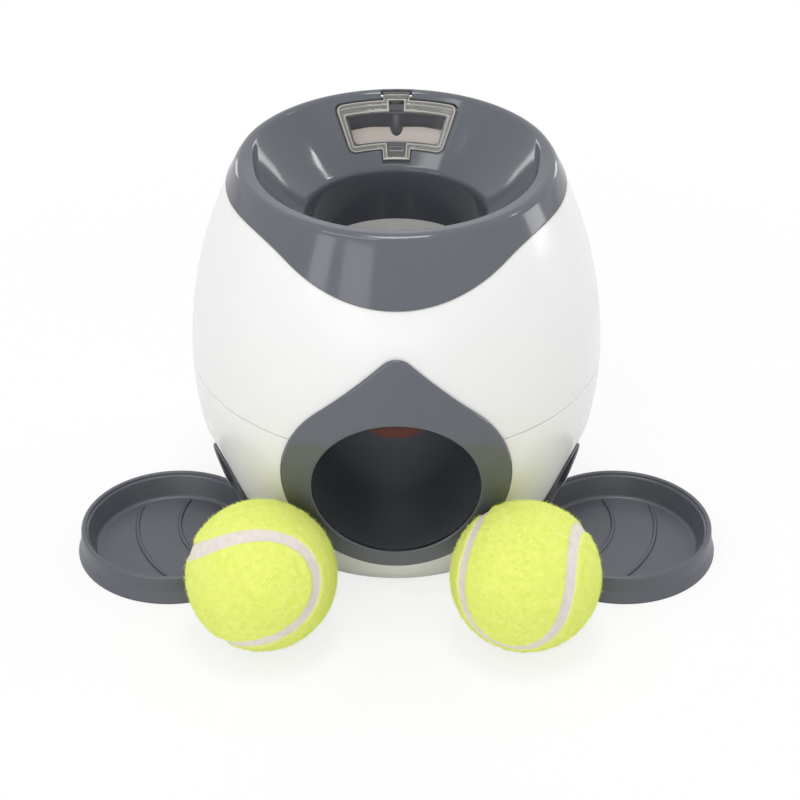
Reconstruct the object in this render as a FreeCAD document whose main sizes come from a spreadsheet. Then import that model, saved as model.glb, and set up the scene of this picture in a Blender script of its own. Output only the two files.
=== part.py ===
"""Ball drop and treat dispenser for dogs: a barrel body with a funnel, a ball outlet and two treat trays.

Frame: millimetres, +Z up, the front faces -Y, the origin is on the floor at the barrel's axis.
A dropped ball falls through the throat into the chute, rolls out at the front and swings the trigger
flap. The flap turns a cross shaft with two metering rotors, and each rotor drops a treat down its side
duct into a tray.
"""
import FreeCAD, Part
import math
import os
import re

import Sketcher

DOCUMENT = FreeCAD.newDocument("ball_and_treat_dispenser")
SHEET = DOCUMENT.addObject("Spreadsheet::Sheet", "Sizes")

# ---------------------------------------------------------------- driving dimensions

SIZES = {
    "Barrel body": {
        "belly_radius": 91.3,
        "belly_height": 85.0,
        "lower_bulge": 149.3,
        "upper_bulge": 191.6,
        "shell_wall": 3.0,
        "shell_foot": 1.2,
        "shell_top": 171.5,
        "seam_gap": 0.3,
    },
    "Side facets, one at each treat outlet": {
        "side_forward": 21.4,
        "facet_tilt": 20.6,
        "facet_distance": 62.9,
        "bezel_thickness": 3.0,
        "bezel_half_width": 21.0,
        "bezel_low": 5.5,
        "bezel_straight": 24.0,
        "outlet_half_width": 12.2,
        "outlet_low": 20.0,
        "outlet_high": 41.0,
        "hook_slot_height": 2.8,
        "hook_slot_half_width": 6.6,
    },
    "Base": {
        "plate_thickness": 2.5,
        "plate_clearance": 0.15,
        "ring_inner": 43.0,
        "ring_outer": 51.0,
        "ring_height": 2.0,
        "boss_radius": 4.5,
        "boss_height": 18.0,
        "boss_circle": 56.0,
        "boss_angle": 30.0,
    },
    "Screws": {
        "screw_radius": 1.5,
        "screw_clearance": 0.2,
        "head_radius": 2.8,
        "head_height": 1.8,
        "thread_grip": 7.0,
        "thread_room": 0.8,
    },
    "Hopper": {
        "skirt_proud": 0.6,
        "skirt_wall": 2.2,
        "skirt_gap": 0.25,
        "crest_height": 179.4,
        "crest_round": 3.0,
        "throat_radius": 38.8,
        "throat_round": 5.0,
        "throat_wall": 3.0,
        "throat_bottom": 126.2,
        "bowl_slope": 45.0,
        "wave_low": 149.0,
        "wave_valley": 90.0,
        "wave_crest": 40.0,
        "wave_angle": 30.4,
        "post_radius": 4.0,
    },
    "Treat lid": {
        "lid_angle": 26.0,
        "lid_low_radius": 45.8,
        "lid_high_radius": 62.0,
        "lid_thickness": 1.8,
        "lid_gap": 0.4,
        "lid_side_gap": 1.1,
        "end_lean": 0.6,
        "plug_gap": 1.2,
        "plug_depth": 0.9,
        "plug_width": 1.8,
        "window_angle": 21.5,
        "window_low_radius": 48.8,
        "window_high_radius": 59.0,
        "latch_angle": 7.8,
        "latch_radius": 42.3,
        "notch_radius": 40.4,
        "notch_depth": 2.6,
        "hinge_pin_radius": 0.9,
        "hinge_knuckle": 2.2,
        "hinge_half_width": 6.2,
        "hinge_pin_half_length": 10.4,
        "hinge_distance": 64.2,
        "hinge_depth": 1.6,
        "hinge_side_gap": 0.5,
        "running_gap": 0.05,
    },
    "Front outlet and mask": {
        "outlet_radius": 36.0,
        "outlet_height": 63.7,
        "outlet_front": 82.0,
        "front_zone": 50.0,
        "mask_radius": 49.6,
        "mask_height": 65.6,
        "mask_flank": 42.0,
        "mask_apex_round": 8.5,
        "mask_proud": 1.8,
        "mask_stud_radius": 1.5,
        "mask_stud_across": 43.0,
        "mask_stud_top": 118.0,
        "mask_stud_length": 6.0,
    },
    "Ball chute and drop tube": {
        "chute_slope": 4.5,
        "chute_wall": 2.2,
        "chute_room": 2.0,
        "well_radius": 36.5,
        "well_top": 104.0,
        "tube_wall": 2.2,
        "tube_collar_wall": 2.0,
        "tube_collar_low": 121.0,
        "tube_collar_high": 131.0,
        "tube_gap": 0.2,
        "saddle_front": 34.0,
        "saddle_back": 12.0,
        "saddle_half_width": 6.0,
        "saddle_height": 16.0,
    },
    "Trigger": {
        "shaft_forward": 45.0,
        "shaft_height": 106.0,
        "shaft_radius": 2.5,
        "shaft_half_length": 67.5,
        "flap_half_width": 19.0,
        "flap_length": 45.1,
        "flap_thickness": 2.6,
        "flap_hub_radius": 4.6,
        "flap_room": 1.5,
        "rotor_radius": 12.0,
        "rotor_low": 44.0,
        "rotor_high": 60.0,
        "rotor_gap": 0.5,
        "pocket_radius": 7.5,
        "pocket_distance": 11.0,
        "pocket_angle": 60.0,
        "bush_radius": 4.5,
        "bush_flange": 6.5,
        "bush_flange_thickness": 1.0,
        "clip_radius": 4.4,
        "clip_thickness": 0.8,
    },
    "Treat ducts": {
        "duct_wall": 1.8,
        "duct_front": 59.4,
        "duct_back": 30.6,
        "duct_turn_height": 74.0,
        "leg_across": 50.0,
        "leg_forward": 26.0,
        "leg_half_width": 3.0,
        "leg_top": 58.0,
        "inlet_low": 110.0,
    },
    "Treat bin": {
        "bin_inner": 43.8,
        "bin_outer": 74.0,
        "bin_wall": 2.0,
        "bin_top": 150.0,
        "bin_front": 29.0,
        "bin_floor_height": 125.0,
        "bin_floor_slope": 15.0,
        "divider_half_width": 2.9,
        "divider_nose": 63.0,
        "divider_low": 153.0,
        "bin_post_across": 50.0,
        "bin_post_back": 44.0,
    },
    "Shell and hopper joints": {
        "lug_radius": 4.5,
        "lug_height": 10.0,
        "side_lug_across": 79.0,
        "side_lug_back": 6.0,
        "rear_lug_across": 48.0,
        "rear_lug_back": 63.0,
        "hopper_lug_across": 33.0,
        "hopper_lug_forward": 55.0,
        "hopper_lug_height": 140.0,
        "hopper_lug_thickness": 3.0,
    },
    "Trays": {
        "tray_reach": 108.0,
        "tray_foot_radius": 43.6,
        "tray_rim_radius": 41.7,
        "tray_height": 13.0,
        "tray_wall": 2.2,
        "tray_lip": 0.9,
        "tray_draft": 3.2,
        "tray_floor": 1.8,
        "tray_gap": 0.35,
        "rib_centre": 62.5,
        "rib_first": 22.0,
        "rib_step": 19.35,
        "rib_width": 2.0,
        "rib_height": 1.0,
        "hook_half_width": 6.0,
        "hook_tab_thickness": 2.2,
        "hook_reach": 2.8,
        "hook_thickness": 1.8,
        "hook_height": 10.2,
    },
    "Balls": {
        "ball_radius": 32.5,
        "felt_thickness": 3.0,
        "core_thickness": 3.0,
        "ball_left_across": -57.3,
        "ball_left_forward": 104.2,
        "ball_right_across": 55.0,
        "ball_right_forward": 104.9,
    },
}
COUNTS = {"rib_count": 3}


def fill_sheet():
    """Write every driving dimension into the sheet, with its alias, under the heading of its group."""
    row = 1
    for heading, sizes in SIZES.items():
        SHEET.set(f"A{row}", heading)
        row += 1
        for alias, size in sizes.items():
            SHEET.set(f"A{row}", alias)
            SHEET.set(f"B{row}", str(size))
            SHEET.setAlias(f"B{row}", alias)
            row += 1
    DOCUMENT.recompute()


fill_sheet()
ALIASES = {alias for sizes in SIZES.values() for alias in sizes}


def formula(text):
    """Turn a size written with plain aliases into an expression on the sheet."""
    return re.sub(r"[A-Za-z_]+", lambda m: "Sizes." + m.group() if m.group() in ALIASES else m.group(), str(text))


def bind(item, prop, text):
    """Bind a property of an object to a size on the sheet."""
    item.setExpression(prop, formula(text))


PROBE = DOCUMENT.addObject("Part::Feature", "Probe")


def value(text):
    """Work out a size now, as a number."""
    return float(PROBE.evalExpression(formula(text)))


# ---------------------------------------------------------------- solids and booleans


def place(item, at=("0", "0", "0"), axis=None, angle="0"):
    """Bind an object's Placement: a turn about one axis, then a shift."""
    if axis is not None:
        item.Placement = FreeCAD.Placement(FreeCAD.Vector(), FreeCAD.Rotation(FreeCAD.Vector(*axis), 1.0))
        bind(item, "Placement.Rotation.Angle", angle)
    for letter, text in zip("xyz", at):
        if str(text) != "0":
            bind(item, "Placement.Base." + letter, text)
    return item


def box(name, low, high):
    """A box between two corners."""
    item = DOCUMENT.addObject("Part::Box", name)
    for prop, start, end in zip(("Length", "Width", "Height"), low, high):
        bind(item, prop, f"({end}) - ({start})")
    return place(item, low)


AXIS_TURNS = {"Z": None, "X": ((0, 1, 0), "90"), "Y": ((1, 0, 0), "-90")}


def cylinder(name, radius, start, length, axis="Z"):
    """A cylinder that starts at a point and runs along +X, +Y or +Z."""
    item = DOCUMENT.addObject("Part::Cylinder", name)
    bind(item, "Radius", radius)
    bind(item, "Height", length)
    turn = AXIS_TURNS[axis]
    return place(item, start) if turn is None else place(item, start, *turn)


def sphere(name, radius, centre):
    """A ball about a point."""
    item = DOCUMENT.addObject("Part::Sphere", name)
    bind(item, "Radius", radius)
    return place(item, centre)


def fuse(name, *parts):
    """One solid out of several."""
    item = DOCUMENT.addObject("Part::MultiFuse", name)
    item.Shapes = list(parts)
    item.Refine = True
    return item


def group(name, *parts):
    """Several separate solids kept as one object."""
    item = DOCUMENT.addObject("Part::Compound", name)
    item.Links = list(parts)
    return item


def cut(name, base, *tools):
    """A solid less each tool in turn."""
    for number, tool in enumerate(tools, 1):
        item = DOCUMENT.addObject("Part::Cut", name if number == len(tools) else f"{name}_less_{number}")
        item.Base = base
        item.Tool = tool
        base = item
    return base


def common(name, *parts):
    """What all the parts share."""
    item = DOCUMENT.addObject("Part::MultiCommon", name)
    item.Shapes = list(parts)
    return item


def mirrored(name, source):
    """The mirror image across the plane x = 0."""
    item = DOCUMENT.addObject("Part::Mirroring", name)
    item.Source = source
    item.Normal = FreeCAD.Vector(1, 0, 0)
    return item


def turned_about_z(name, angle, *parts):
    """The parts, joined and turned about the barrel's axis."""
    return place(fuse(name, *parts) if len(parts) > 1 else group(name, *parts), axis=(0, 0, 1), angle=angle)


# ---------------------------------------------------------------- sketches


class Bend:
    """An arc between two corners of an outline: its radius, its turn (+1 is anticlockwise), long or short."""

    def __init__(self, radius, turn, long=False):
        self.radius, self.turn, self.long = radius, turn, long

    def geometry(self, start, end):
        """The arc as Sketcher geometry, and which of its ends is the start corner."""
        radius = value(self.radius)
        chord = end - start
        side = FreeCAD.Vector(-chord.y, chord.x, 0).normalize() * self.turn * (-1 if self.long else 1)
        centre = (start + end) * 0.5 + side * math.sqrt(radius**2 - (chord.Length / 2) ** 2)
        first, last = (start, end) if self.turn > 0 else (end, start)
        angles = [math.atan2(p.y - centre.y, p.x - centre.x) for p in (first, last)]
        if angles[1] < angles[0]:
            angles[1] += 2 * math.pi
        circle = Part.Circle(centre, FreeCAD.Vector(0, 0, 1), radius)
        return Part.ArcOfCircle(circle, *angles), (1, 2) if self.turn > 0 else (2, 1)


def draw(sketch, outline):
    """Draw a closed outline of corners and bends, with every corner and radius bound to the sheet."""
    corners = [step for step in outline if not isinstance(step, Bend)]
    bends = {}
    for step, following in zip(outline, outline[1:] + outline[:1]):
        if isinstance(following, Bend):
            bends[corners.index(step)] = following
    points = [FreeCAD.Vector(value(x), value(y), 0) for x, y in corners]
    ends = []
    for index, (x, y) in enumerate(corners):
        start, end = points[index], points[(index + 1) % len(points)]
        bend = bends.get(index)
        geometry, pair = bend.geometry(start, end) if bend else (Part.LineSegment(start, end), (1, 2))
        sketch.addGeometry(geometry)
        ends.append(pair)
        for kind, text, letter in (("DistanceX", x, "x"), ("DistanceY", y, "y")):
            number = sketch.addConstraint(Sketcher.Constraint(kind, index, pair[0], value(text)))
            sketch.renameConstraint(number, f"corner_{letter}_{index}")
            bind(sketch, f"Constraints.corner_{letter}_{index}", text)
        if bend:
            number = sketch.addConstraint(Sketcher.Constraint("Radius", index, value(bend.radius)))
            sketch.renameConstraint(number, f"bend_{index}")
            bind(sketch, f"Constraints.bend_{index}", bend.radius)
    for index, pair in enumerate(ends):
        following = (index + 1) % len(ends)
        sketch.addConstraint(Sketcher.Constraint("Coincident", index, pair[1], following, ends[following][0]))


def sketched_body(name, plane, outline):
    """A PartDesign body with one sketch on one of its own origin planes."""
    body = DOCUMENT.addObject("PartDesign::Body", name)
    sketch = body.newObject("Sketcher::SketchObject", name + "_sketch")
    origin_plane = [item for item in body.Origin.OriginFeatures if item.Role == plane][0]
    sketch.AttachmentSupport = [(origin_plane, "")]
    sketch.MapMode = "FlatFace"
    draw(sketch, outline)
    return body, sketch


def turned(name, outline, angle="360"):
    """A body turned about Z from an outline of (radius, height) corners, centred on +X when it is a sector."""
    body, sketch = sketched_body(name, "XZ_Plane", outline)
    feature = body.newObject("PartDesign::Revolution", name + "_turned")
    feature.Profile = sketch
    feature.ReferenceAxis = (sketch, ["V_Axis"])
    feature.Midplane = True
    bind(feature, "Angle", angle)
    return body


def padded(name, plane, outline, length):
    """A body padded both ways from an outline on an origin plane."""
    body, sketch = sketched_body(name, plane, outline)
    feature = body.newObject("PartDesign::Pad", name + "_padded")
    feature.Profile = sketch
    feature.SideType = "Symmetric"
    bind(feature, "Length", length)
    return body


def spun(name, steps, start, axis="Z"):
    """A turned piece along an axis: steps of (radius, length) from a start point, as on a lathe."""
    outline, along = [("0", "0")], "0"
    for radius, length in steps:
        outline.append((radius, along))
        along = f"{along} + {length}"
        outline.append((radius, along))
    outline.append(("0", along))
    body = turned(name, outline)
    turn = AXIS_TURNS[axis]
    return place(body, start) if turn is None else place(body, start, *turn)


# ---------------------------------------------------------------- the barrel and its facets


def girth(height, offset="0", low=False):
    """The barrel's radius at a height, on its lower or its upper arc, offset outwards."""
    bulge = "lower_bulge" if low else "upper_bulge"
    return f"belly_radius - {bulge} + sqrt(({bulge} + ({offset}))^2 - (({height}) - belly_height)^2)"


def barrel(name, offset, low, high):
    """A solid barrel, offset outwards, between two heights on either side of the belly."""
    return turned(
        name,
        [
            ("0", low),
            (girth(low, offset, low=True), low),
            Bend(f"lower_bulge + ({offset})", 1),
            (f"belly_radius + ({offset})", "belly_height"),
            Bend(f"upper_bulge + ({offset})", 1),
            (girth(high, offset), high),
            ("0", high),
        ],
    )


REACH = "200"
SIDES = {"right": "-side_forward", "left": "180 + side_forward"}


def facet_box(name, near, far, half_width, low, high):
    """A box in a facet's own tilted frame: near and far along its normal, low and high up its slope."""
    item = DOCUMENT.addObject("Part::Box", name)
    bind(item, "Length", f"({far}) - ({near})")
    bind(item, "Width", f"2 * ({half_width})")
    bind(item, "Height", f"({high}) - ({low})")
    at = (
        f"({near}) * cos(facet_tilt) + ({low}) * sin(facet_tilt)",
        f"-({half_width})",
        f"({low}) * cos(facet_tilt) - ({near}) * sin(facet_tilt)",
    )
    return place(item, at, (0, 1, 0), "facet_tilt")


def slope_place(height, distance="facet_distance"):
    """How far up the slope a height lies, on a plane parallel to the facet."""
    return f"(({height}) + ({distance}) * sin(facet_tilt)) / cos(facet_tilt)"


def facet_reach(distance, height):
    """How far out from the barrel's axis a plane parallel to the facet lies at a height."""
    return f"(({distance}) + ({height}) * sin(facet_tilt)) / cos(facet_tilt)"


def beyond_facets(name, offset):
    """All that lies beyond both facets, moved out by an offset: the tool that flattens a shell there."""
    sides = [
        turned_about_z(
            f"{name}_{side}",
            angle,
            facet_box(f"{name}_{side}_box", f"facet_distance + ({offset})", REACH, REACH, f"-{REACH}", REACH),
        )
        for side, angle in SIDES.items()
    ]
    return group(name, *sides)


def at_sides(name, make):
    """One tool per facet, each turned to its side."""
    return group(name, *[turned_about_z(f"{name}_{side}", turn, make(f"{name}_{side}_tool")) for side, turn in SIDES.items()])


def side_outlet(name):
    """The hole for treats through a facet."""
    return facet_box(
        name,
        "facet_distance - 2 * shell_wall",
        "facet_distance + 2 * bezel_thickness",
        "outlet_half_width",
        slope_place("outlet_low"),
        slope_place("outlet_high"),
    )


def front_hole(name, radius):
    """A hole through the front, level along Y, about the ball outlet's axis."""
    return cylinder(name, radius, ("0", "-2 * belly_radius", "outlet_height"), "2 * belly_radius - front_zone", "Y")


# ---------------------------------------------------------------- shells and base

RIM_SCREWS = {
    "front_right": ("boss_circle * sin(boss_angle)", "-boss_circle * cos(boss_angle)"),
    "front_left": ("-boss_circle * sin(boss_angle)", "-boss_circle * cos(boss_angle)"),
    "back_right": ("boss_circle * sin(boss_angle)", "boss_circle * cos(boss_angle)"),
    "back_left": ("-boss_circle * sin(boss_angle)", "boss_circle * cos(boss_angle)"),
}
SADDLES = {"front": ("0", "-saddle_front"), "back": ("0", "saddle_back")}
LEGS = {"right": ("leg_across", "-leg_forward"), "left": ("-leg_across", "-leg_forward")}
SHELL_LUGS = {
    "side_right": ("side_lug_across", "side_lug_back"),
    "side_left": ("-side_lug_across", "side_lug_back"),
    "rear_right": ("rear_lug_across", "rear_lug_back"),
    "rear_left": ("-rear_lug_across", "rear_lug_back"),
}
HOPPER_LUGS = {
    "right": ("hopper_lug_across", "-hopper_lug_forward"),
    "left": ("-hopper_lug_across", "-hopper_lug_forward"),
}
BIN_POSTS = {"right": ("bin_post_across", "bin_post_back"), "left": ("-bin_post_across", "bin_post_back")}
PLATE_TOP = "shell_foot + plate_thickness"
HOLE = "screw_radius + screw_clearance"
PILOT = "screw_radius"


def row_of(name, places, make):
    """One tool or piece for each named place."""
    return [make(f"{name}_{key}", x, y) for key, (x, y) in places.items()]


def screw_holes(name, places, low, high, radius=HOLE):
    """Upright holes at a set of places."""
    return row_of(name, places, lambda part, x, y: cylinder(part, radius, (x, y, low), f"({high}) - ({low})"))


def screws(name, places, head_low, under_head):
    """A group of pan-head screws that point up: the head, then a shank that grips above what it clamps."""
    steps = [("head_radius", "head_height"), ("screw_radius", f"({under_head}) + thread_grip")]
    return group(name, *row_of(name, places, lambda part, x, y: spun(part, steps, (x, y, head_low))))


def wall_bosses(name, places, low, height, radius):
    """Bosses that stand off the shell's wall, each with a web that runs out to the wall."""
    pieces = []
    for key, (x, y) in places.items():
        boss = cylinder(f"{name}_{key}", radius, (x, y, low), height)
        web = box(f"{name}_{key}_web", ("0", f"-({radius}) / 2", low), (REACH, f"({radius}) / 2", f"({low}) + ({height})"))
        place(web, (x, y, low))
        angle = f"atan2({y}; {x})"
        web.Placement = FreeCAD.Placement(web.Placement.Base, FreeCAD.Rotation(FreeCAD.Vector(0, 0, 1), 1.0))
        bind(web, "Placement.Rotation.Angle", angle)
        bind(web, "Placement.Base.x", f"{x} + ({radius}) / 2 * sin({angle})")
        bind(web, "Placement.Base.y", f"{y} - ({radius}) / 2 * cos({angle})")
        pieces += [boss, web]
    return fuse(name + "_rough", *pieces)


def build_base():
    """The rubber ring, the plate that closes the bottom and its screws."""
    turned(
        "grip_ring",
        [("ring_inner", "0"), ("ring_outer", "0"), ("ring_outer", "ring_height"), ("ring_inner", "ring_height")],
    )
    edge = f"{girth('shell_foot', '-shell_wall', low=True)} - plate_clearance"
    disc = turned(
        "base_disc",
        [
            ("0", "shell_foot"),
            ("ring_inner", "shell_foot"),
            ("ring_inner", "ring_height"),
            ("ring_outer", "ring_height"),
            ("ring_outer", "shell_foot"),
            (edge, "shell_foot"),
            (edge, PLATE_TOP),
            ("0", PLATE_TOP),
        ],
    )
    posts = row_of(
        "saddle_post",
        SADDLES,
        lambda part, x, y: cylinder(part, "boss_radius", (x, y, "shell_foot"), "saddle_height - shell_foot"),
    )
    whole = fuse("base_whole", disc, *posts)
    places = {**RIM_SCREWS, **SADDLES, **LEGS}
    heads = screw_holes("base_head_room", places, "0", "shell_foot + head_height * 0.5", "head_radius + screw_clearance")
    holes = screw_holes("base_hole", places, "0", "saddle_height + 1")
    return cut("base_plate", whole, beyond_facets("base_facets", "-shell_wall - plate_clearance"), *heads, *holes)


def shell_layer(name, low, high, inner_low):
    """A shell's wall between two heights: the flattened barrel less the flattened hollow."""
    outer = cut(f"{name}_outer", barrel(f"{name}_barrel", "0", low, high), beyond_facets(f"{name}_facets", "0"))
    hollow = cut(
        f"{name}_hollow",
        barrel(f"{name}_inside", "-shell_wall", inner_low, high),
        beyond_facets(f"{name}_inner_facets", "-shell_wall"),
    )
    return outer, hollow


def mask_stud_holes(name, radius):
    """Holes for the mask's studs: one each side and one near the apex."""
    places = {"right": ("mask_stud_across", "mask_height"), "left": ("-mask_stud_across", "mask_height"), "top": ("0", "mask_stud_top")}
    return [
        cylinder(f"{name}_{key}", radius, (x, "-2 * belly_radius", height), "2 * belly_radius - front_zone", "Y")
        for key, (x, height) in places.items()
    ]


def build_shells():
    """The two white shells, joined at the girth line."""
    outer, hollow = shell_layer("lower", "shell_foot", "belly_height + 1", "0")
    wall = cut("lower_wall", outer, hollow)
    bosses = common(
        "lower_bosses",
        fuse(
            "lower_boss_set",
            wall_bosses("rim_boss", RIM_SCREWS, PLATE_TOP, f"boss_height - ({PLATE_TOP})", "boss_radius"),
            wall_bosses("lower_lug", SHELL_LUGS, "belly_height - lug_height", "lug_height", "lug_radius"),
        ),
        barrel("lower_boss_limit", "-shell_wall / 2", "0.5", "shell_top"),
    )
    rough = fuse("lower_rough", wall, bosses)
    above_seam = box("above_seam", (f"-{REACH}", f"-{REACH}", "belly_height - seam_gap / 2"), (REACH, REACH, REACH))
    cut(
        "lower_shell",
        rough,
        above_seam,
        front_hole("lower_front_hole", "outlet_radius + chute_wall + chute_room"),
        at_sides("lower_side_outlets", side_outlet),
        *mask_stud_holes("lower_stud_hole", "mask_stud_radius + screw_clearance"),
        *screw_holes("lower_rim_hole", RIM_SCREWS, "0", f"{PLATE_TOP} + thread_grip + thread_room", PILOT),
        *screw_holes("lower_lug_hole", SHELL_LUGS, "belly_height - 2 * lug_height", "belly_height + 1"),
    )
    upper_outer, upper_hollow = shell_layer("upper", "belly_height - 1", "shell_top", "belly_height - 2")
    upper_wall = cut("upper_wall", upper_outer, upper_hollow)
    lugs = common(
        "upper_lugs",
        fuse(
            "upper_lug_set",
            wall_bosses("upper_lug", SHELL_LUGS, "belly_height", "lug_height", "lug_radius"),
            wall_bosses("hopper_lug", HOPPER_LUGS, "hopper_lug_height", "hopper_lug_thickness", "post_radius"),
        ),
        barrel("upper_boss_limit", "-shell_wall / 2", "0.5", "shell_top"),
    )
    below_seam = box("below_seam", (f"-{REACH}", f"-{REACH}", f"-{REACH}"), (REACH, REACH, "belly_height + seam_gap / 2"))
    cut(
        "upper_shell",
        fuse("upper_rough", upper_wall, lugs),
        below_seam,
        front_hole("upper_front_hole", "outlet_radius + chute_wall + chute_room"),
        skirt_recess("upper_recess"),
        *mask_stud_holes("upper_stud_hole", "mask_stud_radius + screw_clearance"),
        *screw_holes("upper_lug_hole", SHELL_LUGS, "0", "belly_height + thread_grip + thread_room", PILOT),
        *screw_holes("hopper_lug_hole", HOPPER_LUGS, "hopper_lug_height - 1", "hopper_lug_height + lug_height"),
    )


# ---------------------------------------------------------------- hopper and lid


def wave(name, drop):
    """All above the wavy edge of the skirt, lowered by a distance, right through from front to back."""
    run = "(wave_valley + wave_crest) * sin(wave_angle)"
    turn_x = "wave_valley * sin(wave_angle)"
    turn_z = f"wave_low + wave_valley * (1 - cos(wave_angle)) - ({drop})"
    level = f"wave_low + (wave_valley + wave_crest) * (1 - cos(wave_angle)) - ({drop})"
    return padded(
        name,
        "XZ_Plane",
        [
            (f"-({turn_x})", turn_z),
            Bend("wave_valley", 1),
            (turn_x, turn_z),
            Bend("wave_crest", -1),
            (run, level),
            (REACH, level),
            (REACH, REACH),
            (f"-{REACH}", REACH),
            (f"-{REACH}", level),
            (f"-({run})", level),
            Bend("wave_crest", -1),
        ],
        f"2 * {REACH}",
    )


def skirt_recess(name):
    """What the upper shell gives up so that the skirt fits over it."""
    low = "wave_low - 4"
    band = turned(
        name + "_band",
        [
            (girth(low, "skirt_proud - skirt_wall - skirt_gap"), low),
            (REACH, low),
            (REACH, REACH),
            (girth("shell_top + 1", "skirt_proud - skirt_wall - skirt_gap"), REACH),
            (girth("shell_top + 1", "skirt_proud - skirt_wall - skirt_gap"), "shell_top + 1"),
            Bend("upper_bulge + skirt_proud - skirt_wall - skirt_gap", -1),
        ],
    )
    return common(name, band, wave(name + "_wave", "skirt_gap"))


CREST_RADIUS = girth("crest_height", "skirt_proud")
THROAT_CORNER = f"crest_height - ({CREST_RADIUS} - throat_radius) * tan(bowl_slope)"


def bowl_height(radius, depth="0"):
    """The height of the bowl's surface at a radius, less a depth square to the surface."""
    return f"{THROAT_CORNER} + (({radius}) - throat_radius) * tan(bowl_slope) - ({depth}) / cos(bowl_slope)"


def bowl_point(radius, depth, lean):
    """The point at a depth below the bowl's surface, leaning outwards from the surface's point at a radius."""
    shift = f"({depth}) * {lean}"
    drop = f"(({depth}) - {shift} * sin(bowl_slope)) / cos(bowl_slope)"
    return f"{radius} + {shift}", f"{bowl_height(radius)} - {drop}"


def bowl_sector(name, low_radius, high_radius, half_angle, top, bottom):
    """A sector of the bowl's skin at the back, between two depths: upright at the crest, leaning at the throat."""
    corners = [
        bowl_point(low_radius, bottom, "end_lean"),
        bowl_point(high_radius, bottom, "0"),
        bowl_point(high_radius, top, "0"),
        bowl_point(low_radius, top, "end_lean"),
    ]
    return place(turned(name, corners, f"2 * ({half_angle})"), axis=(0, 0, 1), angle="90")


HINGE_HEIGHT = bowl_height("hinge_distance", "hinge_depth * cos(bowl_slope)")


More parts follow.
